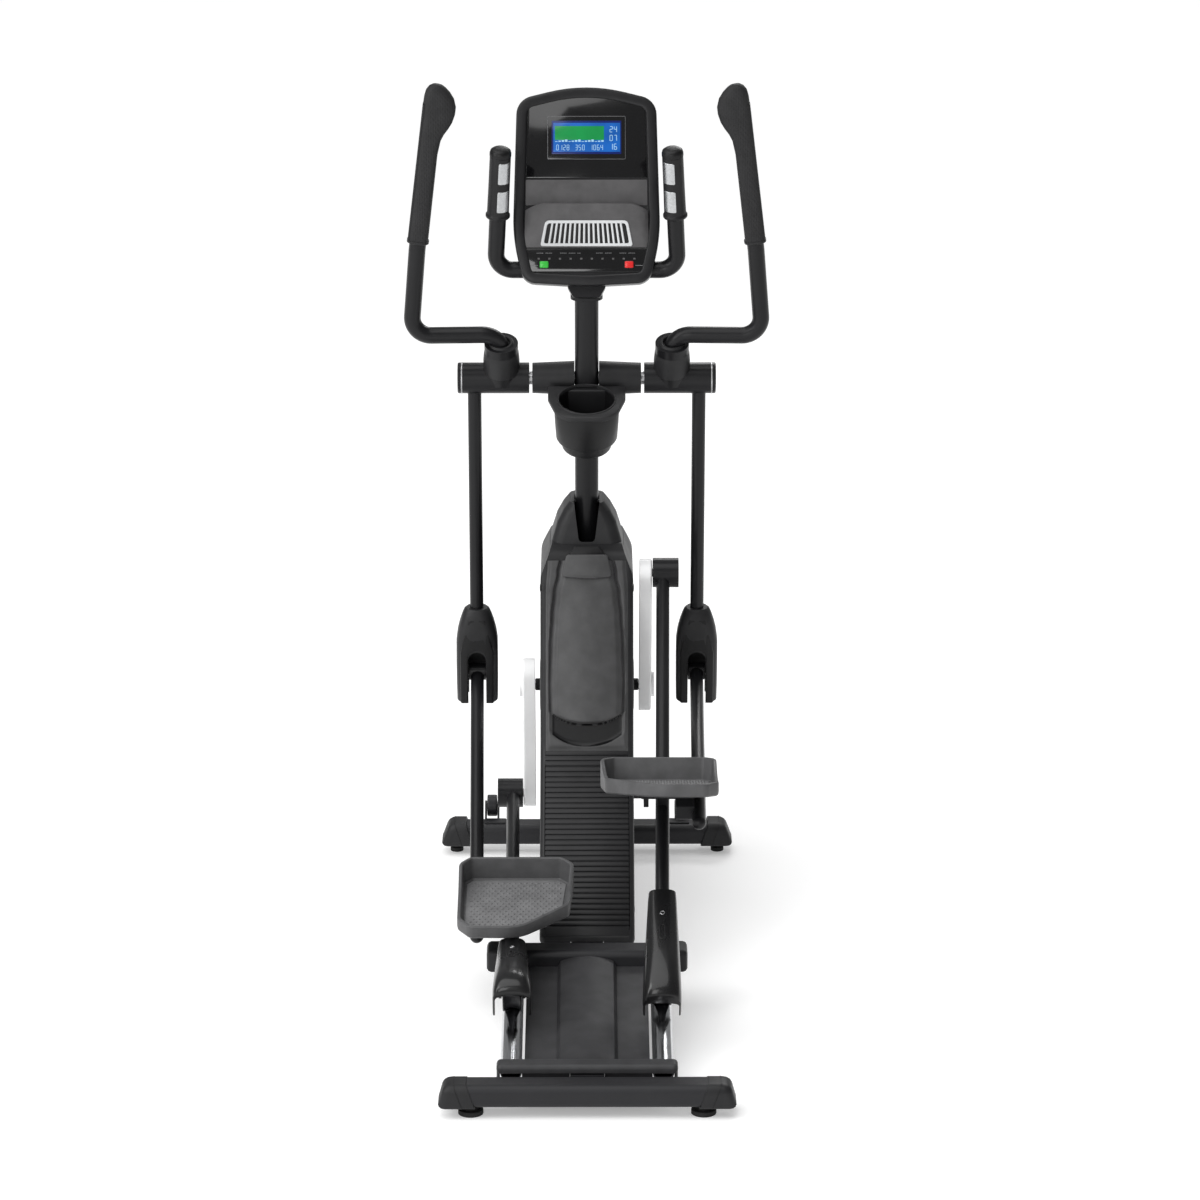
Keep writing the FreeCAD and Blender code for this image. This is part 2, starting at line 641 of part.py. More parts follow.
def idler_at():
    """Centre of the idler that presses on the belt's upper run."""
    line = heading(HUB, FLYWHEEL)
    lean = math.degrees(math.acos((PULLEY_R - FLYWHEEL_PULLEY_R) / span(HUB, FLYWHEEL)))
    reach = IDLER_R + BELT + 0.8
    a = along(HUB, line + lean, PULLEY_R + reach)
    b = along(FLYWHEEL, line + lean, FLYWHEEL_PULLEY_R + reach)
    return ((a[0] * 0.45 + b[0] * 0.55), (a[1] * 0.45 + b[1] * 0.55))


def idler():
    at = idler_at()
    return bar_x(at, IDLER_R, *DRIVE_X).cut(bar_x(at, 6 + RUN, -80, 0))


def idler_bracket():
    """Arm from the main post that carries the idler's pin."""
    at = idler_at()
    arm = slab([(1170, 470, 10), (1170, 500, 10), (at[0] + 12, at[1] + 12, 8), (at[0] + 12, at[1] - 12, 8)],
               -44, -38)
    return fuse(arm, bar_x(at, 6, -64, -40), box(-42, -27, 1172, 1192, 474, 496))


def bearings():
    rings = []
    for x0 in (-39.5, 27.5):
        rings.append(bar_x(HUB, 21, x0, x0 + 12).cut(bar_x(HUB, CRANK_AXLE_R + RUN, -60, 60)))
    return rings


def crank_axle():
    return bar_x(HUB, CRANK_AXLE_R, -CRANK_OUT, CRANK_OUT)


def crank(angle):
    """Flat crank arm with a boss at the axle and the pin that reaches into the roller arm's sleeve."""
    pin = along(HUB, angle, CRANK_R)
    tail = along(HUB, angle + 180, 27)
    bar = Part.Face(convex(tail, 28, pin, 26)).extrude(V(CRANK_OUT - CRANK_IN, 0, 0))
    bar.translate(V(CRANK_IN, 0, 0))
    bar = rounded(bar, 4, lambda p, e: p.x > CRANK_OUT - 0.01)
    boss = bar_x(HUB, 24, CRANK_OUT - 1, 130.5)
    arm = fuse(bar, boss).cut(bar_x(HUB, CRANK_AXLE_R, 90, CRANK_OUT))
    return fuse(arm, bar_x(pin, CRANK_PIN_R, CRANK_OUT - 10, SLEEVE_OUT - 12))


def convex(a, ra, b, rb):
    return pulley_hull(a, ra, b, rb).OuterWire


def magnet_brake():
    """Curved shoe of magnets over the flywheel's rim, on its pivot block."""
    inner = FLYWHEEL_R + 4
    ring = bar_x(FLYWHEEL, inner + 12, -22, 22).cut(bar_x(FLYWHEEL, inner, -23, 23))
    wedge = slab([(FLYWHEEL[0], FLYWHEEL[1], 0), (FLYWHEEL[0] - 50, FLYWHEEL[1] + 200, 0),
                  (FLYWHEEL[0] + 90, FLYWHEEL[1] + 200, 0)], -23, 23)
    pivot = MAGNET_PIVOT
    eye = fuse(ring.common(wedge), slab([(pivot[0] - 12, pivot[1] - 14, 4), (pivot[0] - 12, pivot[1] + 12, 8),
               (pivot[0] + 12, pivot[1] + 12, 8), (pivot[0] + 12, pivot[1] - 14, 4)], -20, 20))
    return eye.cut(bar_x(pivot, 5 + RUN, -30, 30))


def magnet_bracket():
    """Arm from the main post to the magnet shoe's pin."""
    y, z = MAGNET_PIVOT
    arm = slab([(1190, z + 18, 2), (1190, z + 48, 2), (y + 12, z + 12, 10), (y + 12, z - 10, 10)], 22.5, 27.5)
    return fuse(arm, bar_x(MAGNET_PIVOT, 5, -21, 23))


def inlet_bar(r, length, back):
    """A round bar along Y that starts behind the shroud's front face, at the inlet."""
    x, z = INLET
    return Part.makeCylinder(r, length, V(x, SHROUD_FRONT_Y - back, z), V(0, 1, 0))


def power_inlet():
    """Round socket for the adaptor's plug."""
    return inlet_bar(9, 16, 22).cut(inlet_bar(5, 12, 14))


# ---- moving arms, one side ------------------------------------------------------------------------
def keep(side, name, *shapes):
    """Pieces are made on the right and mirrored for the left."""
    word = "right" if side > 0 else "left"
    if side < 0:
        shapes = [mirrored(shape) for shape in shapes]
    save(name + "_" + word, *shapes)


def arm_x(t):
    """How far out the roller arm's tube lies, from the crank pin (0) to the roller (1)."""
    return ARM_FRONT_X + (ARM_REAR_X - ARM_FRONT_X) * t


def roller_arm(side, link):
    pin, roller = link["pin"], link["roller"]
    arm = heading(roller, pin)
    rear = along(roller, arm, 50)
    front = V(arm_x(0), *pin)
    tube = rod(V(arm_x(0.95), *rear), front, ARM_R)
    sleeve = bar_x(pin, SLEEVE_R, SLEEVE_IN, SLEEVE_OUT)
    lug_foot = along(along(pin, arm + 180, ROLLER_ARM * PEDAL_FRACTION), arm + 90, 4)
    pivot = link["pivot"]
    lug_x = arm_x(PEDAL_FRACTION)
    lug = Part.Face(convex(lug_foot, 12.01, pivot, 10)).extrude(V(18, 0, 0))
    lug.translate(V(lug_x - 9, 0, 0))
    body = fuse(tube, sleeve, lug, bar_x(pivot, PEDAL_PIN_R, 100, 182), roller_fork(roller, arm))
    body = body.cut(bar_x(pin, SLEEVE_BORE, SLEEVE_IN - 1, SLEEVE_OUT - 6))
    keep(side, "roller_arm", body)
    keep(side, "roller_cover", roller_cover(roller, arm))
    axle = fuse(bar_x(roller, ROLLER_AXLE_R, ARM_REAR_X - 27, ARM_REAR_X + 27),
                bar_x(roller, 12, ARM_REAR_X - 27, ARM_REAR_X - 24.3),
                bar_x(roller, 12, ARM_REAR_X + 24.3, ARM_REAR_X + 27))
    keep(side, "roller_axle", axle)
    keep(side, "roller", roller_wheel(roller))


def roller_fork(roller, arm):
    """Cross plate and two cheeks that hold the roller's axle."""
    web = box(ARM_REAR_X - 24, ARM_REAR_X + 24, 42, 52, -15, 15)
    cheek = slab([(-14, -14, 13), (-14, 14, 13), (52, 15, 2), (52, -15, 2)], 0, 5.5)
    left, right = cheek.copy(), cheek.copy()
    left.translate(V(ARM_REAR_X - 24, 0, 0))
    right.translate(V(ARM_REAR_X + 18.5, 0, 0))
    fork = fuse(web, left, right)
    fork = fork.cut(bar_x((0, 0), ROLLER_AXLE_R + RUN, 90, 180))
    return posed(fork, roller, arm)


def roller_wheel(roller):
    """Grooved wheel that straddles the round rail."""
    half = ROLLER_WIDTH / 2
    wheel = bar_x(roller, 37, ARM_REAR_X - half, ARM_REAR_X + half)
    wheel = rounded(wheel, 2, lambda p, e: True)
    groove = Part.makeTorus(RAIL_DROP, RAIL_R + 0.6, V(ARM_REAR_X - 1, *roller), V(1, 0, 0))
    return wheel.cut(groove).cut(bar_x(roller, ROLLER_AXLE_R + RUN, 90, 180))


def roller_cover(roller, arm):
    """Open-bottomed hood over the roller, wide at the rear and narrow along the tube."""
    def hood(grow, tail):
        side_view = slab([(-46 - grow, -27 - tail, 3), (-44 - grow, 22 + grow, 18), (-14, 38.8 + grow, 20),
                          (46, 35 + grow, 60), (200 + tail, 14.6 + grow, 0), (200 + tail, -15 - tail, 0),
                          (60, -24 - tail, 0)], 90, 180)
        plan = plate_z([(ARM_REAR_X - 33 - grow, -60, 0), (ARM_REAR_X - 33 - grow, -10, 0),
                        (ARM_REAR_X - 22.5 - grow, 210, 0), (ARM_REAR_X + 25 + grow, 210, 0),
                        (ARM_REAR_X + 33 + grow, -10, 0), (ARM_REAR_X + 33 + grow, -60, 0)], -90, 90)
        return side_view.common(plan)

    shell = hood(2.2, 0).cut(hood(0, 6))
    shell = shell.cut(box(ARM_REAR_X - 25, ARM_REAR_X + 25, -70, -30, -60, 14))
    return posed(shell, roller, arm)


def pedal_arm(side, link):
    """Tube from the knee to its domed tail, with the bracket that carries the pedal and the pivot."""
    pivot, knee, tail = link["pivot"], link["knee"], link["tail"]
    arm = heading(pivot, knee)
    eye_gap = 14
    start, end = V(PEDAL_END_X, *tail), V(KNEE_X, *along(knee, arm + 180, eye_gap))
    tube = fuse(rod(start, end, ARM_R), Part.makeSphere(ARM_R, start))
    eye = bar_x(knee, 17, KNEE_X - 16.4, KNEE_X + 16.4)
    pieces = [tube, eye.cut(bar_x(knee, KNEE_PIN_R + RUN, 180, 250))]
    inner = [(-26, -14, 8), (-26, 24, 0), (0, 15.5, 0), (18, 13, 0), (18, -14, 8)]
    outer = [(-80, -13, 6), (-80, 13, 6), (-60, 36, 0), (0, 15.5, 0), (16, 13, 0), (16, -13, 6)]
    inner = posed(slab(inner, 104, 113), pivot, arm)
    outer = posed(slab(outer, 162, 196), pivot, arm)
    plate = pedal_frame(box(84, 194, -160, 0, -7, -0.5), link)
    plate = plate.cut(pedal_frame(box(118, 161, -62, 5, -20, 5), link))
    body = fuse(*pieces, inner, outer, plate)
    body = body.cut(bar_x(pivot, PEDAL_PIN_HOLE, 90, 190)).cut(bar_x(knee, KNEE_PIN_R + RUN, 180, 250))
    keep(side, "pedal_arm", body)


def pedal_frame(shape, link):
    """Puts a piece made on the pedal's own floor plane, front edge at the origin, onto the pedal arm."""
    arm = heading(link["pivot"], link["knee"])
    local = posed(shape, PEDAL_FRONT, PEDAL_TILT)
    return posed(local, link["pivot"], arm)


def pedal(side, link):
    """Deep tray: high toe wall, lower sides and heel, inner heel corner cut away."""
    x0, x1, length = PEDAL_IN, PEDAL_IN + PEDAL_WIDE, PEDAL_LENGTH
    plan = [(x0 + 8, -length * 0.62, 20), (x0, -26, 22), (x0 + 22, 0, 14), (x1 - 20, 0, 16),
            (x1, -26, 22), (x1, -length + 34, 30), (x1 - 22, -length, 16), (x0 + 96, -length, 60)]
    wall = 6.0
    tray = plate_z(plan, 0, PEDAL_DEPTH)
    pocket = Part.Face(Part.Face(outline(plan, "z", 12)).makeOffset2D(-wall - 4).Wires[0])
    tray = tray.cut(pocket.extrude(V(0, 0, 60)))
    rise = [(2, 57, 0), (-26, 57, 0), (-90, 30, 60), (-length - 5, 24, 0), (-length - 5, 80, 0), (2, 80, 0)]
    lid = slab(rise, x0 - 5, x1 + 5)
    keep(side, "pedal", pedal_frame(tray.cut(lid), link))


def swing_arm(side, link):
    """Sleeve on the cross axle, handlebar socket and the link down to the knee fork."""
    knee = link["knee"]
    lean = heading(knee, SWING_AXIS) - 90
    sleeve = bar_x(SWING_AXIS, SWING_SLEEVE_R, SLEEVE_SWING_IN, SLEEVE_SWING_OUT)
    sleeve = rounded(sleeve, 3, lambda p, e: p.x > SLEEVE_SWING_OUT - 0.01)
    base_at = V(HANDLE_X, *SWING_AXIS)
    up = V(0, -math.sin(math.radians(HANDLE_TILT)), math.cos(math.radians(HANDLE_TILT)))
    socket = rod(base_at, base_at + up * 84, 32)
    link_tube = rod(V(KNEE_X, *SWING_AXIS), V(KNEE_X, *along(knee, lean + 90, 62)), LINK_R)
    head = box(KNEE_X - 27, KNEE_X + 27, -15, 15, 50, 64)
    ear = slab([(-15, -15, 14), (-15, 64, 0), (15, 64, 0), (15, -15, 14)], 0, 7)
    ears = []
    for x in (KNEE_X - 27, KNEE_X + 20):
        piece = ear.copy()
        piece.translate(V(x, 0, 0))
        ears.append(piece)
    bolt = bar_x((0, 0), KNEE_PIN_R, KNEE_X - 29, KNEE_X + 29)
    fork = posed(fuse(head, *ears, bolt), knee, lean)
    body = fuse(sleeve, socket, link_tube, fork)
    body = body.cut(bar_x(SWING_AXIS, SWING_AXLE_R + RUN, 100, 238))
    body = body.cut(rod(base_at + up * 36, base_at + up * 90, HANDLE_R + 0.1))
    body = body.cut(rod(base_at + up * 64, base_at + up * 90, 23))
    keep(side, "swing_arm", body)
    keep(side, "knee_cover", knee_cover(knee, lean))
    keep(side, "handlebar", handlebar())
    keep(side, "hand_grip", hand_grip())


def knee_cover(knee, lean):
    """Moulded boot over the fork, slotted at the rear and below for the pedal arm."""
    half = 40.5
    front = plate_y([(KNEE_X - half, -56, 10), (KNEE_X - half, 84, 30), (KNEE_X - 24, 136, 14),
                     (KNEE_X + 24, 136, 14), (KNEE_X + half, 84, 30), (KNEE_X + half, -56, 10)], -36, 36)
    profile = [(-32, -56, 20), (-34, 70, 40), (-22, 137, 10), (22, 137, 10), (34, 70, 40), (32, -56, 20)]
    side_view = slab(profile, KNEE_X - 60, KNEE_X + 60)
    shell = front.common(side_view)
    cavity = box(KNEE_X - 29.5, KNEE_X + 29.5, -27, 27, -70, 65)
    slot = box(KNEE_X - 17.4, KNEE_X + 17.4, -50, 27, -70, 22)
    arch = Part.makeCylinder(17.4, 50, V(KNEE_X, -50, 22), V(0, 1, 0))
    throat = Part.makeCylinder(LINK_R + 0.1, 90, V(KNEE_X, 0, 60), V(0, 0, 1))
    shell = shell.cut(cavity).cut(slot).cut(arch).cut(throat)
    return posed(shell, knee, lean)


def handle_points():
    """The handlebar's bend points, from inside its socket to inside the grip's top."""
    tilt = math.radians(HANDLE_TILT)
    root = V(HANDLE_X, *SWING_AXIS)
    up = V(0, -math.sin(tilt), math.cos(tilt))
    return [root + up * 37, root + up * 104, V(332, 1084, 1138), V(318, 1060, 1308), V(284, 1028, 1585)]


def handlebar():
    return pipe(handle_points(), HANDLE_R, 36)


def hand_grip():
    """Foam grip with a flattened thumb rest that faces inwards at its top."""
    low, high = handle_points()[3:]
    run = (high - low).normalize()
    start, top = low + run * 14, high + run * 22
    grip = rod(start, top, 20.8)
    pad_low, pad_high = high - run * 52 + V(-24, 0, 0), high + run * 22 + V(-14, 0, 0)
    rest = fuse(rod(pad_low, pad_high, 19), Part.makeSphere(19, pad_low), Part.makeSphere(19, pad_high))
    whole = fuse(grip, Part.makeSphere(20.8, top), rest)
    return whole.cut(rod(low - run * 5, high + run * 0.5, HANDLE_R + 0.1))


# ---- console ----------------------------------------------------------------------------------
def console_frame(shape):
    """Puts a piece made upright, bottom edge at the origin and facing -Y, onto the console's tilt."""
    return posed(shape, CONSOLE_FOOT, CONSOLE_TILT)


def console_outline(grow):
    half, top = CONSOLE_WIDTH / 2 + grow, CONSOLE_HEIGHT + grow
    return [(-half + 10, -grow, 24), (-half, 60, 60), (-half, top - 62, 50), (-half + 68, top, 60),
            (half - 68, top, 60), (half, top - 62, 50), (half, 60, 60), (half - 10, -grow, 24)]


def grille_outline(gap, scale=1.0):
    z0, z1, low, high = GRILLE
    return [(-low * scale - gap, z0 - gap, 3), (-high * scale - gap, z1 + gap, 3),
            (high * scale + gap, z1 + gap, 3), (low * scale + gap, z0 - gap, 3)]


def console():
    front = plate_y(console_outline(0), 0, 14)
    front = rounded(front, 3, lambda p, e: p.y < 0.01)
    x0, x1, z0, z1 = DISPLAY
    front = front.cut(box(x0, x1, -1, 15, z0, z1)).cut(plate_y(grille_outline(0.2), -1, 15))
    ledge = slab([(0.5, 126, 0), (-30, 132, 6), (-30, 150, 5), (-16, 146, 6), (0.5, 150, 0)], -111, 111)
    ledge = rounded(ledge, 8, lambda p, e: abs(p.x) > 110.9 and p.y < -28)
    front = fuse(front, ledge)
    keys = box(-52, 52, -1, 1, 44, 56)
    for side in (-1, 1):
        front = front.cut(Part.makeCylinder(BUTTON_R + 0.4, 20, V(side * BUTTON_X, -2, BUTTON_Z), V(0, 1, 0)))
    front = front.cut(keys)
    save("console_front", console_frame(front))
    back = plate_y(console_outline(-1.5), 14, 52)
    back = rounded(back, 14, lambda p, e: p.y > 51.9)
    back = back.cut(plate_y(console_outline(-4.5), 13, 38)).cut(plate_y(console_outline(-13), 13, 48))
    back = back.cut(box(-33.4, 33.4, 17.6, 46.4, -24, 44.4))
    whole = console_frame(back)
    for side in (-1, 1):
        whole = whole.cut(pulse_tube(side, HANDLE_R + 0.3))
    save("console_back", whole)
    save("display", console_frame(plate_y(display_outline(0.2), 3, 9)))
    save("speaker_grille", console_frame(grille()))
    save("keypad", console_frame(keypad()))
    for side, name in ((-1, "start_button"), (1, "stop_button")):
        save(name, console_frame(button(side)))


def display_outline(gap):
    x0, x1, z0, z1 = DISPLAY
    return [(x0 + gap, z0 + gap, 2), (x0 + gap, z1 - gap, 2),
            (x1 - gap, z1 - gap, 2), (x1 - gap, z0 + gap, 2)]


def grille():
    plate = plate_y(grille_outline(0), 1, 7)
    z0, z1, low, high = GRILLE
    slots = []
    for i in range(17):
        x = (i - 8) * 8.6
        slots.append(box(x - 2.2, x + 2.2, 0, 8, z0 + 6, z1 - 6))
    return plate.cut(Part.makeCompound(slots))


def keypad():
    """Membrane strip with a row of round keys on it."""
    strip = box(-51.8, 51.8, -0.2, 1, 44.2, 55.8)
    keys = [Part.makeCylinder(3.2, 1.0, V(x, -1.1, 50), V(0, 1, 0)) for x in range(-45, 46, 15)]
    return fuse(strip, *keys)


def button(side):
    cap = Part.makeCylinder(BUTTON_R, 12, V(side * BUTTON_X, -2.2, BUTTON_Z), V(0, 1, 0))
    return rounded(cap, 1.2, lambda p, e: p.y < -2.1)


def pulse_points(side):
    """Inside the console's foot, out through its side, then up and towards the user."""
    turn = rot((32.0, 30.0), CONSOLE_TILT)
    y, z = CONSOLE_FOOT[0] + turn[0], CONSOLE_FOOT[1] + turn[1]
    return [V(side * 38, y, z), V(side * 172, y, z), V(side * 160, y - 62, z + 236)]


def pulse_tube(side, r):
    return pipe(pulse_points(side), r, 32)


def pulse_bars():
    """Fixed handgrips from the console's sides, with sensor sleeves."""
    sleeves = []
    for side in (-1, 1):
        low, high = pulse_points(side)[1:]
        run = (high - low).normalize()
        start = low + run * 112
        sleeve = Part.makeCone(21.5, 18.5, (high - start).Length + 8, start, run)
        sleeves.append(sleeve.cut(rod(low, high + run * 0.3, HANDLE_R + 0.1)))
    save("pulse_bars", pulse_tube(-1, HANDLE_R), pulse_tube(1, HANDLE_R))
    save("pulse_grips", *sleeves)


def bottle_holder():
    """Cup tipped towards the user, with a stepped foot and a back plate that hugs the mast."""
    cup = Part.makeCylinder(CUP_R, CUP_DEPTH, V(0, 0, -CUP_DEPTH))
    step = Part.makeCylinder(49, 24, V(0, 0, -CUP_DEPTH - 22))
    bore = Part.makeCylinder(CUP_BORE, CUP_DEPTH - 4, V(0, 0, -CUP_DEPTH + 4.01))
    lip = Part.makeCylinder(CUP_R + 3, 7, V(0, 0, -7))
    back = plate_y([(-56, -70, 6), (-73, 34, 10), (73, 34, 10), (56, -70, 6)], 40, 60)
    body = fuse(cup, step, lip, back).cut(bore)
    body = posed(body, CUP_AT, CUP_TILT)
    keep_clear = mast_bar(MAST_WIDTH + 0.4, MAST_DEPTH + 0.4, 20, 300, 600)
    sleeve = bar_x(SWING_AXIS, 33.5, -120, 120)
    return body.cut(keep_clear).cut(sleeve)


def transport_wheel():
    """Small hard wheel that meets the floor once the machine is tipped forwards."""
    x0, x1 = TRANSPORT_X
    wheel = bar_x(TRANSPORT_WHEEL, TRANSPORT_R, x0, x1)
    wheel = rounded(wheel, 3, lambda p, e: True)
    return wheel.cut(bar_x(TRANSPORT_WHEEL, 4 + RUN, x0 - 1, x1 + 1))


os.makedirs("parts", exist_ok=True)
base()
rails()
deck()
frame()
mast()
shrouds()
drive()
cranks = {1: linkage(CRANK_ANGLE), -1: linkage(CRANK_ANGLE - 180)}
keep(1, "crank", crank(CRANK_ANGLE))
keep(-1, "crank", crank(CRANK_ANGLE - 180))
for side, link in cranks.items():
    roller_arm(side, link)
    pedal_arm(side, link)
    pedal(side, link)
    swing_arm(side, link)
console()
pulse_bars()
save("bottle_holder", bottle_holder())
keep(1, "transport_wheel", transport_wheel())
keep(-1, "transport_wheel", transport_wheel())
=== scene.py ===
"""Looks of the elliptical trainer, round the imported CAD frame. Metres, +Z up, +Y towards the console."""

import math

import bmesh
import bpy
from mathutils import Matrix, Vector


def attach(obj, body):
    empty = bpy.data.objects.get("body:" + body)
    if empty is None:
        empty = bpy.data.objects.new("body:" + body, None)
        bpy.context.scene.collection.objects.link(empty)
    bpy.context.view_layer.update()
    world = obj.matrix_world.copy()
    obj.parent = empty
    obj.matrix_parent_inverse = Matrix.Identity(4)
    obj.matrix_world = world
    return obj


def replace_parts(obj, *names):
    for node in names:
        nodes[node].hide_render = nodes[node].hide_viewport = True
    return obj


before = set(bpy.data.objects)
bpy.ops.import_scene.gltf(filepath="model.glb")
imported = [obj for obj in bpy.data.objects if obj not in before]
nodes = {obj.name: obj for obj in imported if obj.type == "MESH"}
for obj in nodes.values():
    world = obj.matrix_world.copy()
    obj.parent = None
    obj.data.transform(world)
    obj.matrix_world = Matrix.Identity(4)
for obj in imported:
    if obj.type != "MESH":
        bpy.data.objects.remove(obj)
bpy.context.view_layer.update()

SIDES = {"left": -1, "right": 1}

# The linkage in the machine's own plane, as (y, z), with lengths in metres and angles in degrees.
HUB = (0.441, 0.425)
SWING_AXLE = (0.412, 1.044)
CRANK_ANGLE = 106.0
CRANK = 0.255
ROLLER_ARM = 0.97
SWING_ARM = 0.608
PEDAL_ARM = 0.595
PIVOT_SHARE = 0.58
PIVOT_RISE = 0.025
RAIL_SLOPE = 5.5
ROLLER_Y = -0.424
ROLLER_Z = 0.13

CAMERA_AT = (0.0, -8.315, 3.072)
CAMERA_TARGET = (0.0247, 0.174, 0.671)
CAMERA_LENS = 140.8


# ---- procedural materials ------------------------------------------------------------------------
def shader(name, color, roughness, metallic=0.0, coat=0.0, specular=0.28):
    """A new material, with its Principled shader and the object's own coordinates."""
    material = bpy.data.materials.new(name)
    material.use_nodes = True
    tree = material.node_tree
    surface = tree.nodes["Principled BSDF"]
    surface.inputs["Base Color"].default_value = (*color, 1.0)
    surface.inputs["Roughness"].default_value = roughness
    surface.inputs["Metallic"].default_value = metallic
    surface.inputs["Coat Weight"].default_value = coat
    surface.inputs["Coat Roughness"].default_value = 0.06
    surface.inputs["Specular IOR Level"].default_value = specular
    place = tree.nodes.new("ShaderNodeTexCoord").outputs["Object"]
    return material, tree, surface, place


def noise(tree, place, scale, detail=4.0, stretch=None):
    if stretch is not None:
        mapping = tree.nodes.new("ShaderNodeMapping")
        mapping.inputs["Scale"].default_value = stretch
        tree.links.new(place, mapping.inputs["Vector"])
        place = mapping.outputs["Vector"]
    node = tree.nodes.new("ShaderNodeTexNoise")
    node.inputs["Scale"].default_value = scale
    node.inputs["Detail"].default_value = detail
    tree.links.new(place, node.inputs["Vector"])
    return node.outputs["Fac"]


def remap(tree, value, low, high, from_low=0.3, from_high=0.7):
    node = tree.nodes.new("ShaderNodeMapRange")
    node.inputs["From Min"].default_value = from_low
    node.inputs["From Max"].default_value = from_high
    node.inputs["To Min"].default_value = low
    node.inputs["To Max"].default_value = high
    tree.links.new(value, node.inputs["Value"])
    return node.outputs["Result"]


def tint(tree, value, dark, light):
    """A colour between two, by a value from 0 to 1."""
    node = tree.nodes.new("ShaderNodeMix")
    node.data_type = "RGBA"
    node.inputs["A"].default_value = (*dark, 1.0)
    node.inputs["B"].default_value = (*light, 1.0)
    tree.links.new(value, node.inputs["Factor"])
    return node.outputs["Result"]


def bump(tree, surface, height, distance, strength=1.0, edge=0.0006):
    """Relief in metres on top of softly rounded edges."""
    soften = tree.nodes.new("ShaderNodeBevel")
    soften.inputs["Radius"].default_value = edge
    node = tree.nodes.new("ShaderNodeBump")
    node.inputs["Distance"].default_value = distance
    node.inputs["Strength"].default_value = strength
    tree.links.new(soften.outputs["Normal"], node.inputs["Normal"])
    tree.links.new(height, node.inputs["Height"])
    tree.links.new(node.outputs["Normal"], surface.inputs["Normal"])


def moulding(name, color, roughness, grain=900.0, relief=0.00008, coat=0.0):
    """Moulded plastic: fine spark-eroded grain, and faint handling marks in its sheen."""
    material, tree, surface, place = shader(name, color, roughness, coat=coat)
    marks = noise(tree, place, 9.0, 6.0)
    rough = remap(tree, marks, roughness - 0.06, roughness + 0.07)
    tree.links.new(rough, surface.inputs["Roughness"])
    dark = tuple(c * 0.86 for c in color)
    light = tuple(min(1.0, c * 1.16) for c in color)
    tree.links.new(tint(tree, remap(tree, noise(tree, place, 34.0), 0, 1), dark, light),
                   surface.inputs["Base Color"])
    bump(tree, surface, noise(tree, place, grain, 3.0), relief)
    return material


def powder_coat(name, color, roughness):
    """Powder-coated steel: orange peel, with a little dust in the sheen."""
    material, tree, surface, place = shader(name, color, roughness, specular=0.24)
    peel = noise(tree, place, 420.0, 2.0)
    cloud = noise(tree, place, 6.0, 5.0)
    tree.links.new(remap(tree, cloud, roughness - 0.05, roughness + 0.08), surface.inputs["Roughness"])
    dark = tuple(c * 0.85 for c in color)
    light = tuple(min(1.0, c * 1.2) for c in color)
    tree.links.new(tint(tree, remap(tree, cloud, 0, 1), dark, light), surface.inputs["Base Color"])
    bump(tree, surface, peel, 0.00012, edge=0.0008)
    return material


def bare_metal(name, color, roughness, stretch=(1.0, 1.0, 1.0), grain=300.0, relief=0.00002):
    """Bare metal with drawing or turning marks along one way."""
    material, tree, surface, place = shader(name, color, roughness, metallic=1.0)
    lines = noise(tree, place, grain, 3.0, stretch)
    cloud = noise(tree, place, 14.0, 5.0)
    tree.links.new(remap(tree, cloud, roughness - 0.05, roughness + 0.12), surface.inputs["Roughness"])
    dark = tuple(c * 0.82 for c in color)
    tree.links.new(tint(tree, remap(tree, lines, 0, 1), dark, color), surface.inputs["Base Color"])
    bump(tree, surface, lines, relief)
    return material


TUBE = powder_coat("tube_powder_coat", (0.008, 0.008, 0.009), 0.32)
FRAME = powder_coat("frame_powder_coat", (0.018, 0.018, 0.02), 0.42)
COVER = moulding("cover_moulding", (0.016, 0.016, 0.017), 0.46)
CAP = moulding("cap_moulding", (0.013, 0.013, 0.014), 0.48, grain=1100.0)
PANEL = moulding("panel_moulding", (0.06, 0.06, 0.061), 0.4, grain=1300.0, relief=0.00004)
DARK_COVER = moulding("dark_moulding", (0.005, 0.005, 0.0055), 0.42)
TRAY = moulding("tray_moulding", (0.034, 0.034, 0.036), 0.46, grain=1000.0)
GLOSS = moulding("gloss_moulding", (0.006, 0.006, 0.0065), 0.3, grain=900.0, relief=0.00003, coat=0.25)
PEDAL = moulding("pedal_moulding", (0.078, 0.078, 0.08), 0.44, grain=700.0, relief=0.00012)
RUBBER = moulding("rubber", (0.014, 0.014, 0.014), 0.75, grain=1500.0)
URETHANE = moulding("urethane", (0.016, 0.016, 0.018), 0.35)
SILVER = powder_coat("silver_paint", (0.95, 0.955, 0.96), 0.3)
CHROME = bare_metal("chromed_tube", (0.62, 0.63, 0.65), 0.14, (1.0, 0.02, 1.0))
STEEL = bare_metal("turned_steel", (0.55, 0.55, 0.56), 0.28, (6.0, 1.0, 1.0))
IRON = bare_metal("turned_iron", (0.24, 0.24, 0.25), 0.42, (3.0, 1.0, 1.0), relief=0.00005)
ALUMINIUM = bare_metal("cast_aluminium", (0.62, 0.63, 0.64), 0.4, grain=500.0, relief=0.00006)
GREEN = moulding("green_button", (0.04, 0.45, 0.05), 0.3, relief=0.00002, coat=0.3)
RED = moulding("red_button", (0.62, 0.02, 0.02), 0.3, relief=0.00002, coat=0.3)
SILVER_FACE = powder_coat("grille_silver_paint", (0.6, 0.61, 0.62), 0.4)
APRON = moulding("apron_moulding", (0.011, 0.011, 0.012), 0.45, grain=1200.0, relief=0.00004)
TREAD = moulding("pedal_tread", (0.15, 0.15, 0.153), 0.5, grain=900.0, relief=0.00006)

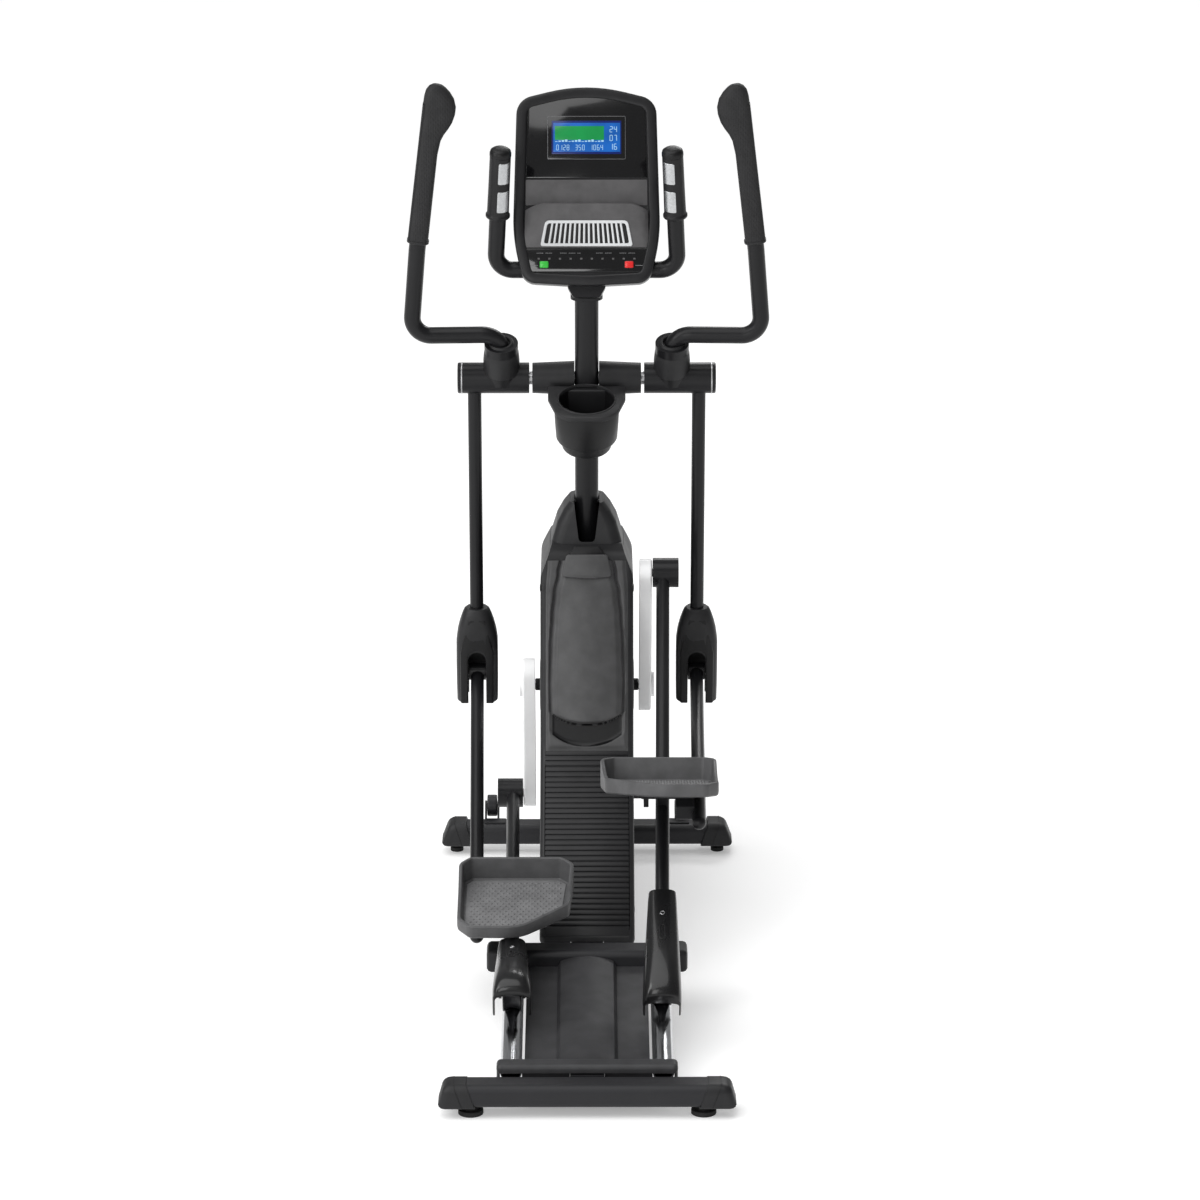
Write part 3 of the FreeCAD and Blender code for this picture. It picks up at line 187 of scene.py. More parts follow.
NODE_MATERIALS = {
    FRAME: ["frame_spine", "front_stabiliser", "rear_stabiliser", "mid_crossmember"],
    TUBE: ["mast", "swing_arm_left", "swing_arm_right", "roller_arm_left", "roller_arm_right",
           "pedal_arm_left", "pedal_arm_right", "handlebar_left", "handlebar_right", "pulse_bars"],
    COVER: ["shroud_left", "shroud_right", "ribbed_cover", "mast_collar", "bottle_holder", "console_back"],
    TRAY: ["rear_tray", "spine_cover"],
    CAP: ["end_caps", "axle_cover", "knee_cover_left", "knee_cover_right", "magnet_brake", "power_inlet"],
    DARK_COVER: ["roller_cover_left", "roller_cover_right"],
    PANEL: ["upper_panel", "keypad"],
    GLOSS: ["console_front"],
    PEDAL: ["pedal_left", "pedal_right"],
    RUBBER: ["levelling_feet", "drive_belt", "pulse_grips", "hand_grip_left", "hand_grip_right"],
    URETHANE: ["roller_left", "roller_right", "transport_wheel_left", "transport_wheel_right", "idler_wheel"],
    CHROME: ["guide_rails"],
    SILVER: ["crank_left", "crank_right", "speaker_grille"],
    STEEL: ["swing_axle", "crank_axle", "flywheel_axle", "roller_axle_left", "roller_axle_right",
            "crank_bearings"],
    IRON: ["flywheel"],
    ALUMINIUM: ["drive_pulley"],
    GREEN: ["start_button"],
    RED: ["stop_button"],
}


def paint(thing, material):
    thing.data.materials.clear()
    thing.data.materials.append(material)


for material, names in NODE_MATERIALS.items():
    for name in names:
        paint(nodes[name], material)


# ---- mesh helpers --------------------------------------------------------------------------------
WELD = 1e-7


def linked(name, data):
    """A new object in the scene."""
    thing = bpy.data.objects.new(name, data)
    bpy.context.scene.collection.objects.link(thing)
    return thing


def add(name, mesh, material, body):
    thing = linked(name, mesh)
    paint(thing, material)
    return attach(thing, body)


def closed_mesh(name, shape, place=None):
    """A mesh from points and faces, with doubled points merged and its normals made consistent."""
    points, faces = shape
    mesh = bpy.data.meshes.new(name)
    mesh.from_pydata([tuple(p) for p in points], [], faces)
    if place is not None:
        mesh.transform(place)
    work = bmesh.new()
    work.from_mesh(mesh)
    bmesh.ops.remove_doubles(work, verts=work.verts, dist=WELD)
    bmesh.ops.recalc_face_normals(work, faces=work.faces)
    work.to_mesh(mesh)
    work.free()
    return mesh


def solid(name, shape, material, body, place=None, sharp=38.0):
    """A closed piece with smooth shading, sharp only where its faces turn by more than an angle."""
    mesh = closed_mesh(name, shape, place)
    mesh.shade_smooth()
    mesh.set_sharp_from_angle(angle=math.radians(sharp))
    return add(name, mesh, material, body)


def ring2d(corners, steps=6):
    """A closed outline through corners (u, v, radius), with each corner rounded."""
    points = []
    for i, (u, v, radius) in enumerate(corners):
        here = Vector((u, v))
        before = (Vector(corners[i - 1][:2]) - here).normalized()
        after = (Vector(corners[(i + 1) % len(corners)][:2]) - here).normalized()
        half = before.angle(after) / 2
        if radius <= 0 or half > math.radians(89.5):
            points.append(here)
            continue
        reach = radius / math.tan(half)
        centre = here + (before + after).normalized() * radius / math.sin(half)
        start, end = here + before * reach - centre, here + after * reach - centre
        turn = start.angle_signed(end)
        for k in range(steps + 1):
            points.append(centre + Matrix.Rotation(-turn * k / steps, 2) @ start)
    return points


def mirrored(left, top=(), bottom=()):
    """An outline's corners from its left side, and from any corners on its middle line."""
    return [*left, *top, *((-u, v, radius) for u, v, radius in left[::-1]), *bottom]


def offset2d(points, inset):
    """The outline moved inwards by a distance."""
    area = sum(a.x * b.y - b.x * a.y for a, b in zip(points, points[1:] + points[:1]))
    inward = 1.0 if area > 0 else -1.0
    moved = []
    for i, here in enumerate(points):
        before, after = here - points[i - 1], points[(i + 1) % len(points)] - here
        normals = [Vector((-d.y, d.x)).normalized() for d in (before, after) if d.length > 1e-9]
        normal = sum(normals, Vector((0.0, 0.0))).normalized()
        stretch = max(0.4, normal.dot(normals[0]))
        moved.append(here + normal * inward * inset / stretch)
    return moved


def loft(rings, caps=(True, True), closed=True):
    """Points and faces of a skin through rings that have the same number of points."""
    count = len(rings[0])
    points = [p for ring in rings for p in ring]
    faces = []
    for k in range(len(rings) - 1):
        for i in range(count if closed else count - 1):
            j = (i + 1) % count
            faces.append((k * count + i, k * count + j, (k + 1) * count + j, (k + 1) * count + i))
    if caps[0]:
        faces.append(tuple(range(count)))
    if caps[1]:
        faces.append(tuple((len(rings) - 1) * count + i for i in range(count)))
    return points, faces


def layered(outline, layers):
    """A plate in the XZ plane: each layer is a depth along Y and an inset of the outline."""
    rings = []
    for depth, inset in layers:
        rings.append([Vector((p.x, depth, p.y)) for p in offset2d(outline, inset)])
    return loft(rings)


def edged(front, back, edge):
    """Layers of a plate from its back to its front face, with a rounded front edge."""
    return [(back, 0.0), (front + edge, 0.0), (front + edge * 0.3, edge * 0.3), (front, edge)]


def frame_of(origin, along, facing):
    """Axes with Z along one direction and Y as near as may be to another."""
    z = Vector(along).normalized()
    x = Vector(facing).cross(z).normalized()
    y = z.cross(x)
    turn = Matrix((x, y, z)).transposed().to_4x4()
    return Matrix.Translation(origin) @ turn


def tube_rings(sections, steps=28):
    """Rings round Z: each section is a height, half widths to -X and +X, a half depth and a squareness."""
    rings = []
    for z, left, right, depth, square in sections:
        ring = []
        for k in range(steps):
            a = 2 * math.pi * k / steps
            c, s = math.cos(a), math.sin(a)
            x = math.copysign(abs(c) ** square, c) * (right if c > 0 else left)
            y = math.copysign(abs(s) ** square, s) * depth
            ring.append(Vector((x, y, z)))
        rings.append(ring)
    return rings


def carved(shape, cutters):
    """A mesh's points and faces with other closed meshes taken away."""
    blank, *tools = [linked("blank", closed_mesh("blank", part)) for part in [shape, *cutters]]
    for tool in tools:
        cut = blank.modifiers.new("cut", "BOOLEAN")
        cut.operation = "DIFFERENCE"
        cut.solver = "EXACT"
        cut.object = tool
    bpy.context.view_layer.update()
    mesh = bpy.data.meshes.new_from_object(blank.evaluated_get(bpy.context.evaluated_depsgraph_get()))
    points = [v.co.copy() for v in mesh.vertices]
    faces = [tuple(p.vertices) for p in mesh.polygons]
    for made in [blank] + tools:
        data = made.data
        bpy.data.objects.remove(made)
        bpy.data.meshes.remove(data)
    bpy.data.meshes.remove(mesh)
    return points, faces


# ---- console -------------------------------------------------------------------------------------
def glow(name, color, strength, ripple=0.12):
    """A lit display area, a little uneven as a backlight is."""
    material, tree, surface, place = shader(name, tuple(c * 0.3 for c in color), 0.25, coat=0.4)
    level = remap(tree, noise(tree, place, 30.0, 2.0), 0, 1)
    dim = tuple(c * (1 - ripple) for c in color)
    tree.links.new(tint(tree, level, dim, color), surface.inputs["Emission Color"])
    surface.inputs["Emission Strength"].default_value = strength
    return material


FACE = moulding("console_panel_gloss", (0.003, 0.003, 0.0035), 0.14, grain=40.0, relief=0.000006, coat=0.7)
BEZEL = moulding("console_bezel", (0.011, 0.011, 0.012), 0.36, grain=1400.0, relief=0.00003)
REST = moulding("reading_rest", (0.08, 0.078, 0.08), 0.5, grain=1200.0, relief=0.00006)
MARK = moulding("printed_mark", (0.16, 0.16, 0.165), 0.5, relief=0.00001)
LCD_BLUE = glow("lcd_blue", (0.01, 0.15, 0.6), 0.62, 0.45)
LCD_EDGE = glow("lcd_edge", (0.003, 0.015, 0.16), 0.6)
LCD_GREEN = glow("lcd_green", (0.01, 0.34, 0.08), 0.62, 0.25)
LCD_WHITE = glow("lcd_digits", (0.45, 0.75, 1.0), 0.62)

CONSOLE_FOOT = Vector((0.0, 0.338, 1.243))
CONSOLE_TILT = -19.0
CONSOLE = Matrix.Translation(CONSOLE_FOOT) @ Matrix.Rotation(math.radians(CONSOLE_TILT), 4, "X")
CONSOLE_OUTLINE = mirrored([(-0.119, 0.002, 0.03), (-0.139, 0.09, 0.3), (-0.1315, 0.349, 0.036)],
                           [(0.0, 0.3815, 0.3)], [(0.0, -0.0045, 0.3)])
RECESS = 0.0215
REST_LOW = 0.068
REST_HIGH = 0.152
PANEL_LOW = 0.2
BUTTON_X = 0.08
BUTTON_Z = 0.036


def console_plate(name, corners, front, back, edge, material, body="frame"):
    return solid(name, layered(ring2d(corners), edged(front, back, edge)), material, body, CONSOLE)


def rectangle(x0, x1, z0, z1, r):
    return [(x0, z0, r), (x0, z1, r), (x1, z1, r), (x1, z0, r)]


def panel_half(z):
    """Half width of the recess in the console's face at a height."""
    return (0.139 if z < 0.09 else 0.139 - 0.0075 * (z - 0.09) / 0.259) - RECESS - 0.0004


def console_case():
    outline = ring2d(CONSOLE_OUTLINE, 8)
    layers = [(0.052, 0.02), (0.0505, 0.013), (0.046, 0.006), (0.039, 0.002), (0.03, 0.0), (0.0165, 0.0),
              (0.0163, 0.0007), (0.0152, 0.0007), (0.015, 0.0), (0.005, 0.0), (0.0025, 0.0006), (0.0008,
            0.002),
              (0.0, 0.0045), (0.0, 0.0165), (0.0004, 0.0185), (0.0016, 0.0198), (0.0045, 0.0205), (0.0046,
            0.0212)]
    case = solid("console_case", layered(outline, layers), BEZEL, "frame", CONSOLE, 50)
    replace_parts(case, "console_front", "console_back")


def upper_panel_face():
    low, high = PANEL_LOW, 0.3395
    corners = mirrored([(-panel_half(low), low, 0.002), (-panel_half(high), high, 0.014)],
                       [(0.0, 0.3585, 0.3)])
    console_plate("display_panel", corners, 0.0022, 0.005, 0.0008, FACE)
    console_plate("window_line", rectangle(-0.0735, 0.0735, 0.2355, 0.3175, 0.002), 0.0019, 0.003, 0.0001,
                  MARK)
    console_plate("window", rectangle(-0.0727, 0.0727, 0.2363, 0.3167, 0.0015), 0.00165, 0.003, 0.0001, FACE)


SEGMENTS = {"0": "abcdef", "1": "bc", "2": "abged", "3": "abgcd", "4": "fgbc", "5": "afgcd", "6": "afgedc",
            "7": "abc", "8": "abcdefg", "9": "abcdfg"}


def segment_box(letter, x, z, wide, tall, t):
    """The rectangle of one segment of a seven-segment digit whose lower left corner is x, z."""
    mid = tall / 2
    spots = {"a": (x + t, x + wide - t, z + tall - t, z + tall),
             "g": (x + t, x + wide - t, z + mid - t / 2, z + mid + t / 2),
             "d": (x + t, x + wide - t, z, z + t), "f": (x, x + t, z + mid, z + tall - t / 2),
             "e": (x, x + t, z + t / 2, z + mid), "b": (x + wide - t, x + wide, z + mid, z + tall - t / 2),
             "c": (x + wide - t, x + wide, z + t / 2, z + mid)}
    return spots[letter]


def digit_strokes(digits, x, z, pitch, wide, tall, t):
    """The lit segments of a row of digits."""
    return [segment_box(letter, x + pitch * i, z, wide, tall, t)
            for i, digit in enumerate(digits) for letter in SEGMENTS[digit]]


def boxes(name, rectangles, front, back, material):
    """Many small flat plates as one piece."""
    points, faces = [], []
    for x0, x1, z0, z1 in rectangles:
        first = len(points)
        for depth in (back, front):
            points += [Vector((x0, depth, z0)), Vector((x1, depth, z0)), Vector((x1, depth, z1)),
                       Vector((x0, depth, z1))]
        for face in ((0, 1, 2, 3), (7, 6, 5, 4), (0, 4, 5, 1), (1, 5, 6, 2), (2, 6, 7, 3), (3, 7, 4, 0)):
            faces.append(tuple(first + i for i in face))
    return solid(name, (points, faces), material, "frame", CONSOLE)


def lcd():
    screen = console_plate("screen", rectangle(-0.0655, 0.0655, 0.2455, 0.3085, 0.001), 0.0013, 0.003, 0.0001,
                           LCD_EDGE)
    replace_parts(screen, "display")
    console_plate("screen_field", rectangle(-0.0625, 0.0635, 0.2495, 0.3045, 0.0005), 0.0011, 0.003, 0.0001,
                  LCD_BLUE)
    console_plate("screen_profile", rectangle(-0.0595, 0.033, 0.272, 0.2985, 0.0005), 0.0009, 0.003, 0.0001,
                  LCD_GREEN)
    bars = [(-0.059 + 0.0062 * i, -0.0545 + 0.0062 * i, 0.2685, 0.2685 + 0.0011 * (1 + (i * 5) % 4))
            for i in range(15)]
    boxes("screen_bars", bars, 0.0008, 0.002, LCD_WHITE)
    strokes = []
    for start, digits in ((-0.057, "0128"), (-0.0215, "350"), (0.0065, "1064")):
        strokes += digit_strokes(digits, start, 0.2525, 0.0066, 0.0046, 0.0105, 0.0009)
    for row, digits in enumerate(("16", "07", "24")):
        strokes += digit_strokes(digits, 0.0435, 0.2535 + 0.0165 * row, 0.008, 0.0058, 0.0115, 0.0011)
    boxes("screen_digits", strokes, 0.0008, 0.002, LCD_WHITE)


def reading_rest():
    """Flat back plate, with a swelling ledge below it that carries the grille."""
    half = panel_half(0.17)
    console_plate("rest_plate", rectangle(-half, half, REST_HIGH - 0.004, PANEL_LOW - 0.003, 0.003), 0.0026,
                  0.005,
                  0.0008, REST)
    profile = [(REST_LOW, 0.0046), (REST_LOW + 0.0005, 0.001), (REST_LOW + 0.002, -0.0002), (0.095, -0.0046),
               (0.122, -0.0092), (0.138, -0.0119), (0.1445, -0.0126), (0.1488, -0.0118), (0.1512, -0.0088),
               (0.152, -0.004), (0.1522, 0.0046)]
    rings, count = [], 40
    for i in range(count + 1):
        t = 2 * i / count - 1
        far = max(0.0, (abs(t) - 0.7) / 0.3)
        swell = math.sqrt(max(0.0, 1 - far ** 2.4))
        ring = []
        for z, y in profile:
            lowered = (z - REST_LOW) * (1 - 0.16 * far ** 1.5) + REST_LOW
            ring.append(Vector((t * panel_half(z), 0.0046 - (0.0046 - y) * (0.3 + 0.7 * swell), lowered)))
        rings.append(ring)
    solid("rest_ledge", loft(rings), REST, "frame", CONSOLE, 30)


GRILLE_TURN = math.radians(9.6)
GRILLE = CONSOLE @ Matrix.Translation((0, -0.0006, 0.0705)) @ Matrix.Rotation(GRILLE_TURN, 4, "X")


def grille():
    tall, low, high = 0.0485, 0.0872, 0.0775
    outer = ring2d(mirrored([(-low, 0, 0.004), (-high, tall, 0.009)]), 5)
    inner = ring2d(mirrored([(-low + 0.007, 0.0055, 0.003), (-high + 0.004, tall - 0.0055, 0.006)]), 5)

    def at(ring, depth, inset):
        return [Vector((p.x, depth, p.y)) for p in offset2d(ring, inset)]

    rings = [at(outer, 0.001, 0), at(outer, -0.0014, 0), at(outer, -0.002, 0.0007),
             at(inner, -0.002, -0.0007),
             at(inner, -0.0014, 0), at(inner, 0.001, 0)]
    points, faces = loft(rings, (False, False))
    count = len(outer)
    faces += [(5 * count + i, 5 * count + (i + 1) % count, (i + 1) % count, i) for i in range(count)]
    frame_piece = solid("grille_frame", (points, faces), SILVER_FACE, "frame", GRILLE)
    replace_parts(frame_piece, "speaker_grille", "keypad")
    shape = layered(inner, [(0.001, -0.001), (-0.0002, -0.001)])
    solid("grille_back", shape, DARK_COVER, "frame", GRILLE)
    slots, bars = 17, []
    pitch = 2 * (low - 0.0075) / slots
    for i in range(1, slots):
        x = -low + 0.0075 + pitch * i
        lean = x * (high - low) / low * 0.8
        bars.append((x, lean))
    rings_points, faces = [], []
    for x, lean in bars:
        first = len(rings_points)
        for z, shift in ((0.0052, 0.0), (tall - 0.0052, lean)):
            for dx, depth in ((-0.0019, 0.0005), (-0.0019, -0.0012), (-0.0011, -0.0018), (0.0011, -0.0018),
                              (0.0019, -0.0012), (0.0019, 0.0005)):
                rings_points.append(Vector((x + shift + dx, depth, z)))
        for k in range(6):
            faces.append((first + k, first + (k + 1) % 6, first + 6 + (k + 1) % 6, first + 6 + k))
        faces += [tuple(range(first, first + 6)), tuple(range(first + 6, first + 12))]
    solid("grille_bars", (rings_points, faces), SILVER_FACE, "frame", GRILLE)


def button_outline(side, wide, tall, radius):
    """A rounded rectangle round a button's middle, from its half width and half height."""
    x, z = side * BUTTON_X, BUTTON_Z
    return ring2d(rectangle(x - wide, x + wide, z - tall, z + tall, radius), 4)


def button_hole(side):
    """The opening in the key panel that a button moves in."""
    return layered(button_outline(side, 0.0085, 0.0067, 0.0024), [(0.02, 0.0), (-0.01, 0.0)])


def key_strip():
    low, high = 0.0225, REST_LOW - 0.0015
    corners = mirrored([(-0.1035, low, 0.006), (-panel_half(0.05), 0.04, 0.02),
                        (-panel_half(0.06), high, 0.002)])
    shape = carved(layered(ring2d(corners), edged(0.0022, 0.005, 0.0008)), [button_hole(-1), button_hole(1)])
    solid("key_panel", shape, FACE, "frame", CONSOLE)
    keys = []
    for i in range(10):
        x = -0.09 + 0.02 * i
        keys.append((x - 0.0021, x + 0.0021, 0.0455, 0.0489))
    dashes = []
    for start, count in ((-0.094, 9), (-0.05, 12), (0.018, 9), (0.062, 9)):
        for i in range(count):
            if (i * 7) % 5 != 3:
                dashes.append((start + 0.0033 * i, start + 0.0033 * i + 0.0025, 0.0572, 0.0584))
    for side in (-1, 1):
        dashes += [(side * 0.0985 - 0.007, side * 0.0985 + 0.007, 0.0339, 0.0351)]
    boxes("key_marks", keys, 0.0016, 0.003, REST)
    boxes("printed_dashes", dashes, 0.0021, 0.003, MARK)
    for side, name, material, slot in ((-1, "start_button", GREEN, "start_green"),
            (1, "stop_button", RED, "stop_red")):
        outline = button_outline(side, 0.0082, 0.0064, 0.0022)
        layers = [(0.0022, 0.0), (0.0008, 0.0), (0.0, 0.0004), (-0.0006, 0.001), (-0.0009, 0.0018)]
        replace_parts(solid(name + "_cap", layered(outline, layers), material, name, CONSOLE), name)
        trim = button_outline(side, 0.0095, 0.0077, 0.003)
        shape = carved(layered(trim, edged(0.0016, 0.004, 0.0004)), [button_hole(side)])
        solid(name + "_trim", shape, BEZEL, "frame", CONSOLE)


def console():
    console_case()
    upper_panel_face()
    lcd()
    reading_rest()
    grille()
    key_strip()


console()


def turned_at(at, angle, x=0.0):
    return Matrix.Translation((x, at[0], at[1])) @ Matrix.Rotation(math.radians(angle), 4, "X")


# ---- shroud's rear face ----------------------------------------------------------------------------
REAR_FACE = turned_at((0.226, 0.356), math.degrees(math.atan2(0.360, 0.116)) - 90)
PANEL_HALF = 0.067


def smooth(t):
    """Nought to one, with a soft start and end."""
    t = min(1.0, max(0.0, t))
    return t * t * (3 - 2 * t)


def panel_edge(u):
    """Half width of the swelling panel at a height up the face."""
    knots = [(0.0, 0.0655), (0.06, 0.0672), (0.13, 0.0685), (0.2, 0.067), (0.26, 0.0635), (0.3, 0.0595),
             (0.34, 0.052),
             (0.38, 0.044)]
    for (u0, w0), (u1, w1) in zip(knots, knots[1:]):
        if u <= u1:
            return w0 + (w1 - w0) * smooth((u - u0) / (u1 - u0))
    return knots[-1][1]


def bend(far):
    """How far the shroud's filleted inner corner stands above its two flats, by distance from the corner."""
    radius, reach = 0.06, 0.01526
    return radius - math.sqrt(radius ** 2 - (reach - far) ** 2) if far < reach else 0.0


def lip_line(x):
    """How far up the face the smooth panel's lower lip runs."""
    return 0.0505 + 0.021 * min(abs(x) / PANEL_HALF, 1.1) ** 2.6


def scoop_line(x):
    """How far up the face the scoop below the lip begins."""
    return 0.008 + 0.026 * min(abs(x) / 0.07, 1.2) ** 2.4


def face_height(x, u):
    """How far the moulding stands out from the flat of the shroud."""
    far = abs(x) / PANEL_HALF
    lip, scoop = lip_line(x), scoop_line(x)
    edge = 0.0785 - 0.004 * smooth((u - 0.3) / 0.06)
    band = 0.0004 + 0.005 * smooth((edge - abs(x)) / 0.007) * smooth(u / 0.013)
    band += bend(u)
    wide = panel_edge(u)
    groove = -0.0065 * smooth(1 - abs(abs(x) - wide - 0.0022) / 0.0046) * smooth((u - scoop) / 0.02)
    inside = smooth(min((wide - abs(x)) / 0.013, (u - lip) / 0.006))
    swell = (0.0045 + 0.006 * (1 - min(far, 1.0) ** 2)) * inside * (1 - 0.5 * smooth((u - 0.3) / 0.06))
    if u < lip and abs(x) < 0.076:
        t = max(0.0, (u - scoop) / (lip - scoop))
        hollow = (band - 0.0004) * smooth(t * 5) * smooth((0.075 - abs(x)) / 0.012)
        return band - hollow
    return band + swell + groove * (1 - inside)


def rear_panel():
    columns, rows = 96, 150
    u0, u1, half = 0.0006, 0.3645, 0.0785
    rings = []
    for i in range(rows + 1):
        u = u0 + (u1 - u0) * i / rows
        side = half - 0.0035 * smooth((u - 0.31) / 0.05)
        ring = []
        for k in range(columns + 1):
            x = side * (2 * k / columns - 1)
            ring.append(Vector((x, -face_height(x, u), u)))
        ring += [Vector((side, 0.0012, u)), Vector((-side, 0.0012, u))]
        rings.append(ring)
    panel = solid("rear_panel", loft(rings), PANEL, "frame", REAR_FACE, 60)
    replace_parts(panel, "upper_panel")


def scoop_painted_shade():
    """A dark skin that follows the scoop under the panel's lip: painted shade where the lip shades the
    hollow.
    """
    rings = []
    for i in range(13):
        front, back = [], []
        for k in range(61):
            x = 0.066 * (k / 30 - 1)
            low, high = scoop_line(x) + 0.0015, lip_line(x) + 0.0022
            u = low + (high - low) * i / 12
            front.append(Vector((x, -face_height(x, u) - 0.0004, u)))
            back.append(Vector((x, -face_height(x, u) + 0.0008, u)))
        rings.append(front + back[::-1])
    # Painted shade: a dark matte sheet laid over the scoop, standing in for the lip's shadow.
    solid("scoop_painted_shade", loft(rings), DARK_COVER, "frame", REAR_FACE, 60)


def neck_pieces():
    """The raised cap at the panel's top, and the brow above it."""
    cap = ring2d(mirrored([(-0.0487, 0.333, 0.006), (-0.0445, 0.352, 0.01), (-0.039, 0.3755, 0.007)],
                          bottom=[(0.0, 0.3285, 0.16)]))
    rings = []
    for lift, inset in ((0.0, 0.0), (0.0178, 0.0), (0.0194, 0.0008), (0.0202, 0.0026)):
        rings.append([Vector((q.x, -lift * (1 - 0.25 * (abs(q.x) / 0.05) ** 2), q.y))
                      for q in offset2d(cap, inset)])
    solid("neck_cap", loft(rings), PANEL, "frame", REAR_FACE, 35)
    brow = mirrored([(-0.0385, 0.372, 0.003), (-0.023, 0.3925, 0.006)])
    shape = layered(ring2d(brow, 5), [(0.012, 0.0), (-0.0085, 0.0), (-0.0105, 0.0012), (-0.011, 0.003)])
    solid("neck_brow", shape, DARK_COVER, "frame", REAR_FACE, 35)


def ribbed_apron():
    """Lapped ribs across the lower slope, above a plain lip."""
    low, high = Vector((0, -0.060, 0.084)), Vector((0, 0.226, 0.356))
    line = high - low
    place = frame_of(low, line, (0, 1, 0))
    start, end, count = 0.006 * line.length, 0.997 * line.length, 33
    lip = 0.019
    pitch = (end - start - lip) / count
    profile = [Vector((0, 0.008, start)), Vector((0, 0.0008, start)), Vector((0, 0.0, start + 0.001)),
               Vector((0, 0.0, start + lip - 0.0012)), Vector((0, 0.0008, start + lip))]
    for i in range(count):
        z = start + lip + pitch * i
        profile += [Vector((0, 0.0024, z + 0.0004)), Vector((0, 0.0024, z + pitch * 0.22)),
                    Vector((0, 0.0005, z + pitch * 0.3)), Vector((0, 0.0, z + pitch * 0.4)),
                    Vector((0, 0.0001, z + pitch * 0.75)), Vector((0, 0.0006, z + pitch * 0.96))]
    profile.append(Vector((0, 0.008, end)))
    rings = []
    for x, sink in ((-0.0797, 0.002), (-0.079, 0.0006), (-0.0775, 0.0), (0.0775, 0.0), (0.079, 0.0006),
                    (0.0797, 0.002)):
        ring = []
        for q in profile:
            proud = 0.0006 + bend(line.length - q.z) + 0.0024 * smooth((q.z / line.length - 0.9) / 0.03)
            ring.append(Vector((x, min(q.y + sink, 0.008) - proud, q.z)))
        rings.append(ring)
    apron = solid("ribbed_apron", loft(rings), APRON, "frame", place, 30)
    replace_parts(apron, "ribbed_cover")


# ---- grips and cowls -----------------------------------------------------------------------------
def diamond(name, color, roughness, pitch):
    """Soft rubber with a fine diamond tread."""
    material, tree, surface, place = shader(name, color, roughness)
    waves = []
    for direction in ("DIAGONAL", "X"):
        wave = tree.nodes.new("ShaderNodeTexWave")
        wave.bands_direction = direction
        wave.inputs["Scale"].default_value = pitch
        wave.inputs["Distortion"].default_value = 0.2
        tree.links.new(place, wave.inputs["Vector"])
        waves.append(wave.outputs["Fac"])
    both = tree.nodes.new("ShaderNodeMath")
    both.operation = "MULTIPLY"
    tree.links.new(waves[0], both.inputs[0])
    tree.links.new(waves[1], both.inputs[1])
    dark = tuple(c * 0.75 for c in color)
    tree.links.new(tint(tree, remap(tree, noise(tree, place, 60.0), 0, 1), dark, color),
                   surface.inputs["Base Color"])
    bump(tree, surface, both.outputs["Value"], 0.0004)
    return material


GRIP = diamond("grip_rubber", (0.02, 0.02, 0.021), 0.62, 70.0)
GRIP_BAND = moulding("grip_band", (0.008, 0.008, 0.009), 0.45, relief=0.00003)
PLATE = bare_metal("sensor_plate", (0.5, 0.51, 0.52), 0.24, grain=200.0)


def moved(points, x=0.0, y=0.0, z=0.0):
    return [p + Vector((x, y, z)) for p in points]


def turned(profile, steps=40):
    """Rings of a body turned round Z, from (height, radius) pairs."""
    return tube_rings([(z, r, r, r, 1.0) for z, r in profile], steps)


def hand_grip(side):
    word, sign = side
    low, high = Vector((sign * 0.318, 0.336, 1.308)), Vector((sign * 0.284, 0.304, 1.585))
    axes = frame_of(low, high - low, (0, 1, 0))
    top = (high - low).length + 0.0428
    widths = [(0.0, 6, 13, 8, 1.0), (0.004, 12, 19, 12.5, 0.9), (0.012, 17, 28, 15.5, 0.85),
              (0.024, 19, 37, 17, 0.8),
              (0.039, 19.3, 42, 17.3, 0.78), (0.053, 19.3, 42, 17.3, 0.78), (0.069, 19.2, 38.5, 17.3, 0.75),
              (0.081, 19.1, 33, 17.3, 0.72), (0.093, 19, 26, 17.3, 0.7), (0.106, 19, 21, 17.3, 0.68),
              (0.134, 18.6, 18, 17.2, 0.66), (0.215, 18.8, 18.3, 17.4, 0.66), (0.303, 19.2, 18.8, 17.8, 0.66),
              (0.3035, 21, 20.6, 19.6, 0.75), (0.3075, 21, 20.6, 19.6, 0.75), (0.3097, 18, 17.6, 16.8, 0.8)]
    sections, edge = [], []
    for far, outer, inner, deep, square in widths:
        left, right = (inner, outer) if sign > 0 else (outer, inner)
        sections.append((top - far, left / 1000, right / 1000, deep / 1000, square))
        if 0.03 <= far <= 0.303:
            edge.append((top - far, 0.0042, 0.0042, deep * 0.77 / 1000, 0.6))
    shape = loft(tube_rings(sections, 36))
    grip = solid("grip_" + word, shape, GRIP, "swing_arm_" + word, axes, 50)
    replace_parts(grip, "hand_grip_" + word)
    points, faces = loft(tube_rings(edge, 20))
    solid("grip_band_" + word, (moved(points, sign * 0.0158), faces), GRIP_BAND, "swing_arm_" + word,
          axes, 50)


def arc_plate(radius, thick, start, end, low, high, steps=14):
    """A curved plate round Z between two angles and two heights."""
    rings = []
    for i in range(steps + 1):
        t = i / steps
        ease = 0.0016 * max(0.0, 1 - min(t, 1 - t) * steps)
        a = start + (end - start) * t
        ring = []
        for r, z in ((radius, low + ease), (radius + thick * 0.6, low + ease),
                     (radius + thick, low + ease + 0.0006),
                     (radius + thick, high - ease - 0.0006), (radius + thick * 0.6, high - ease), (radius,
                high - ease)):
            ring.append(Vector((r * math.cos(a), r * math.sin(a), z)))
        rings.append(ring)
    return loft(rings)


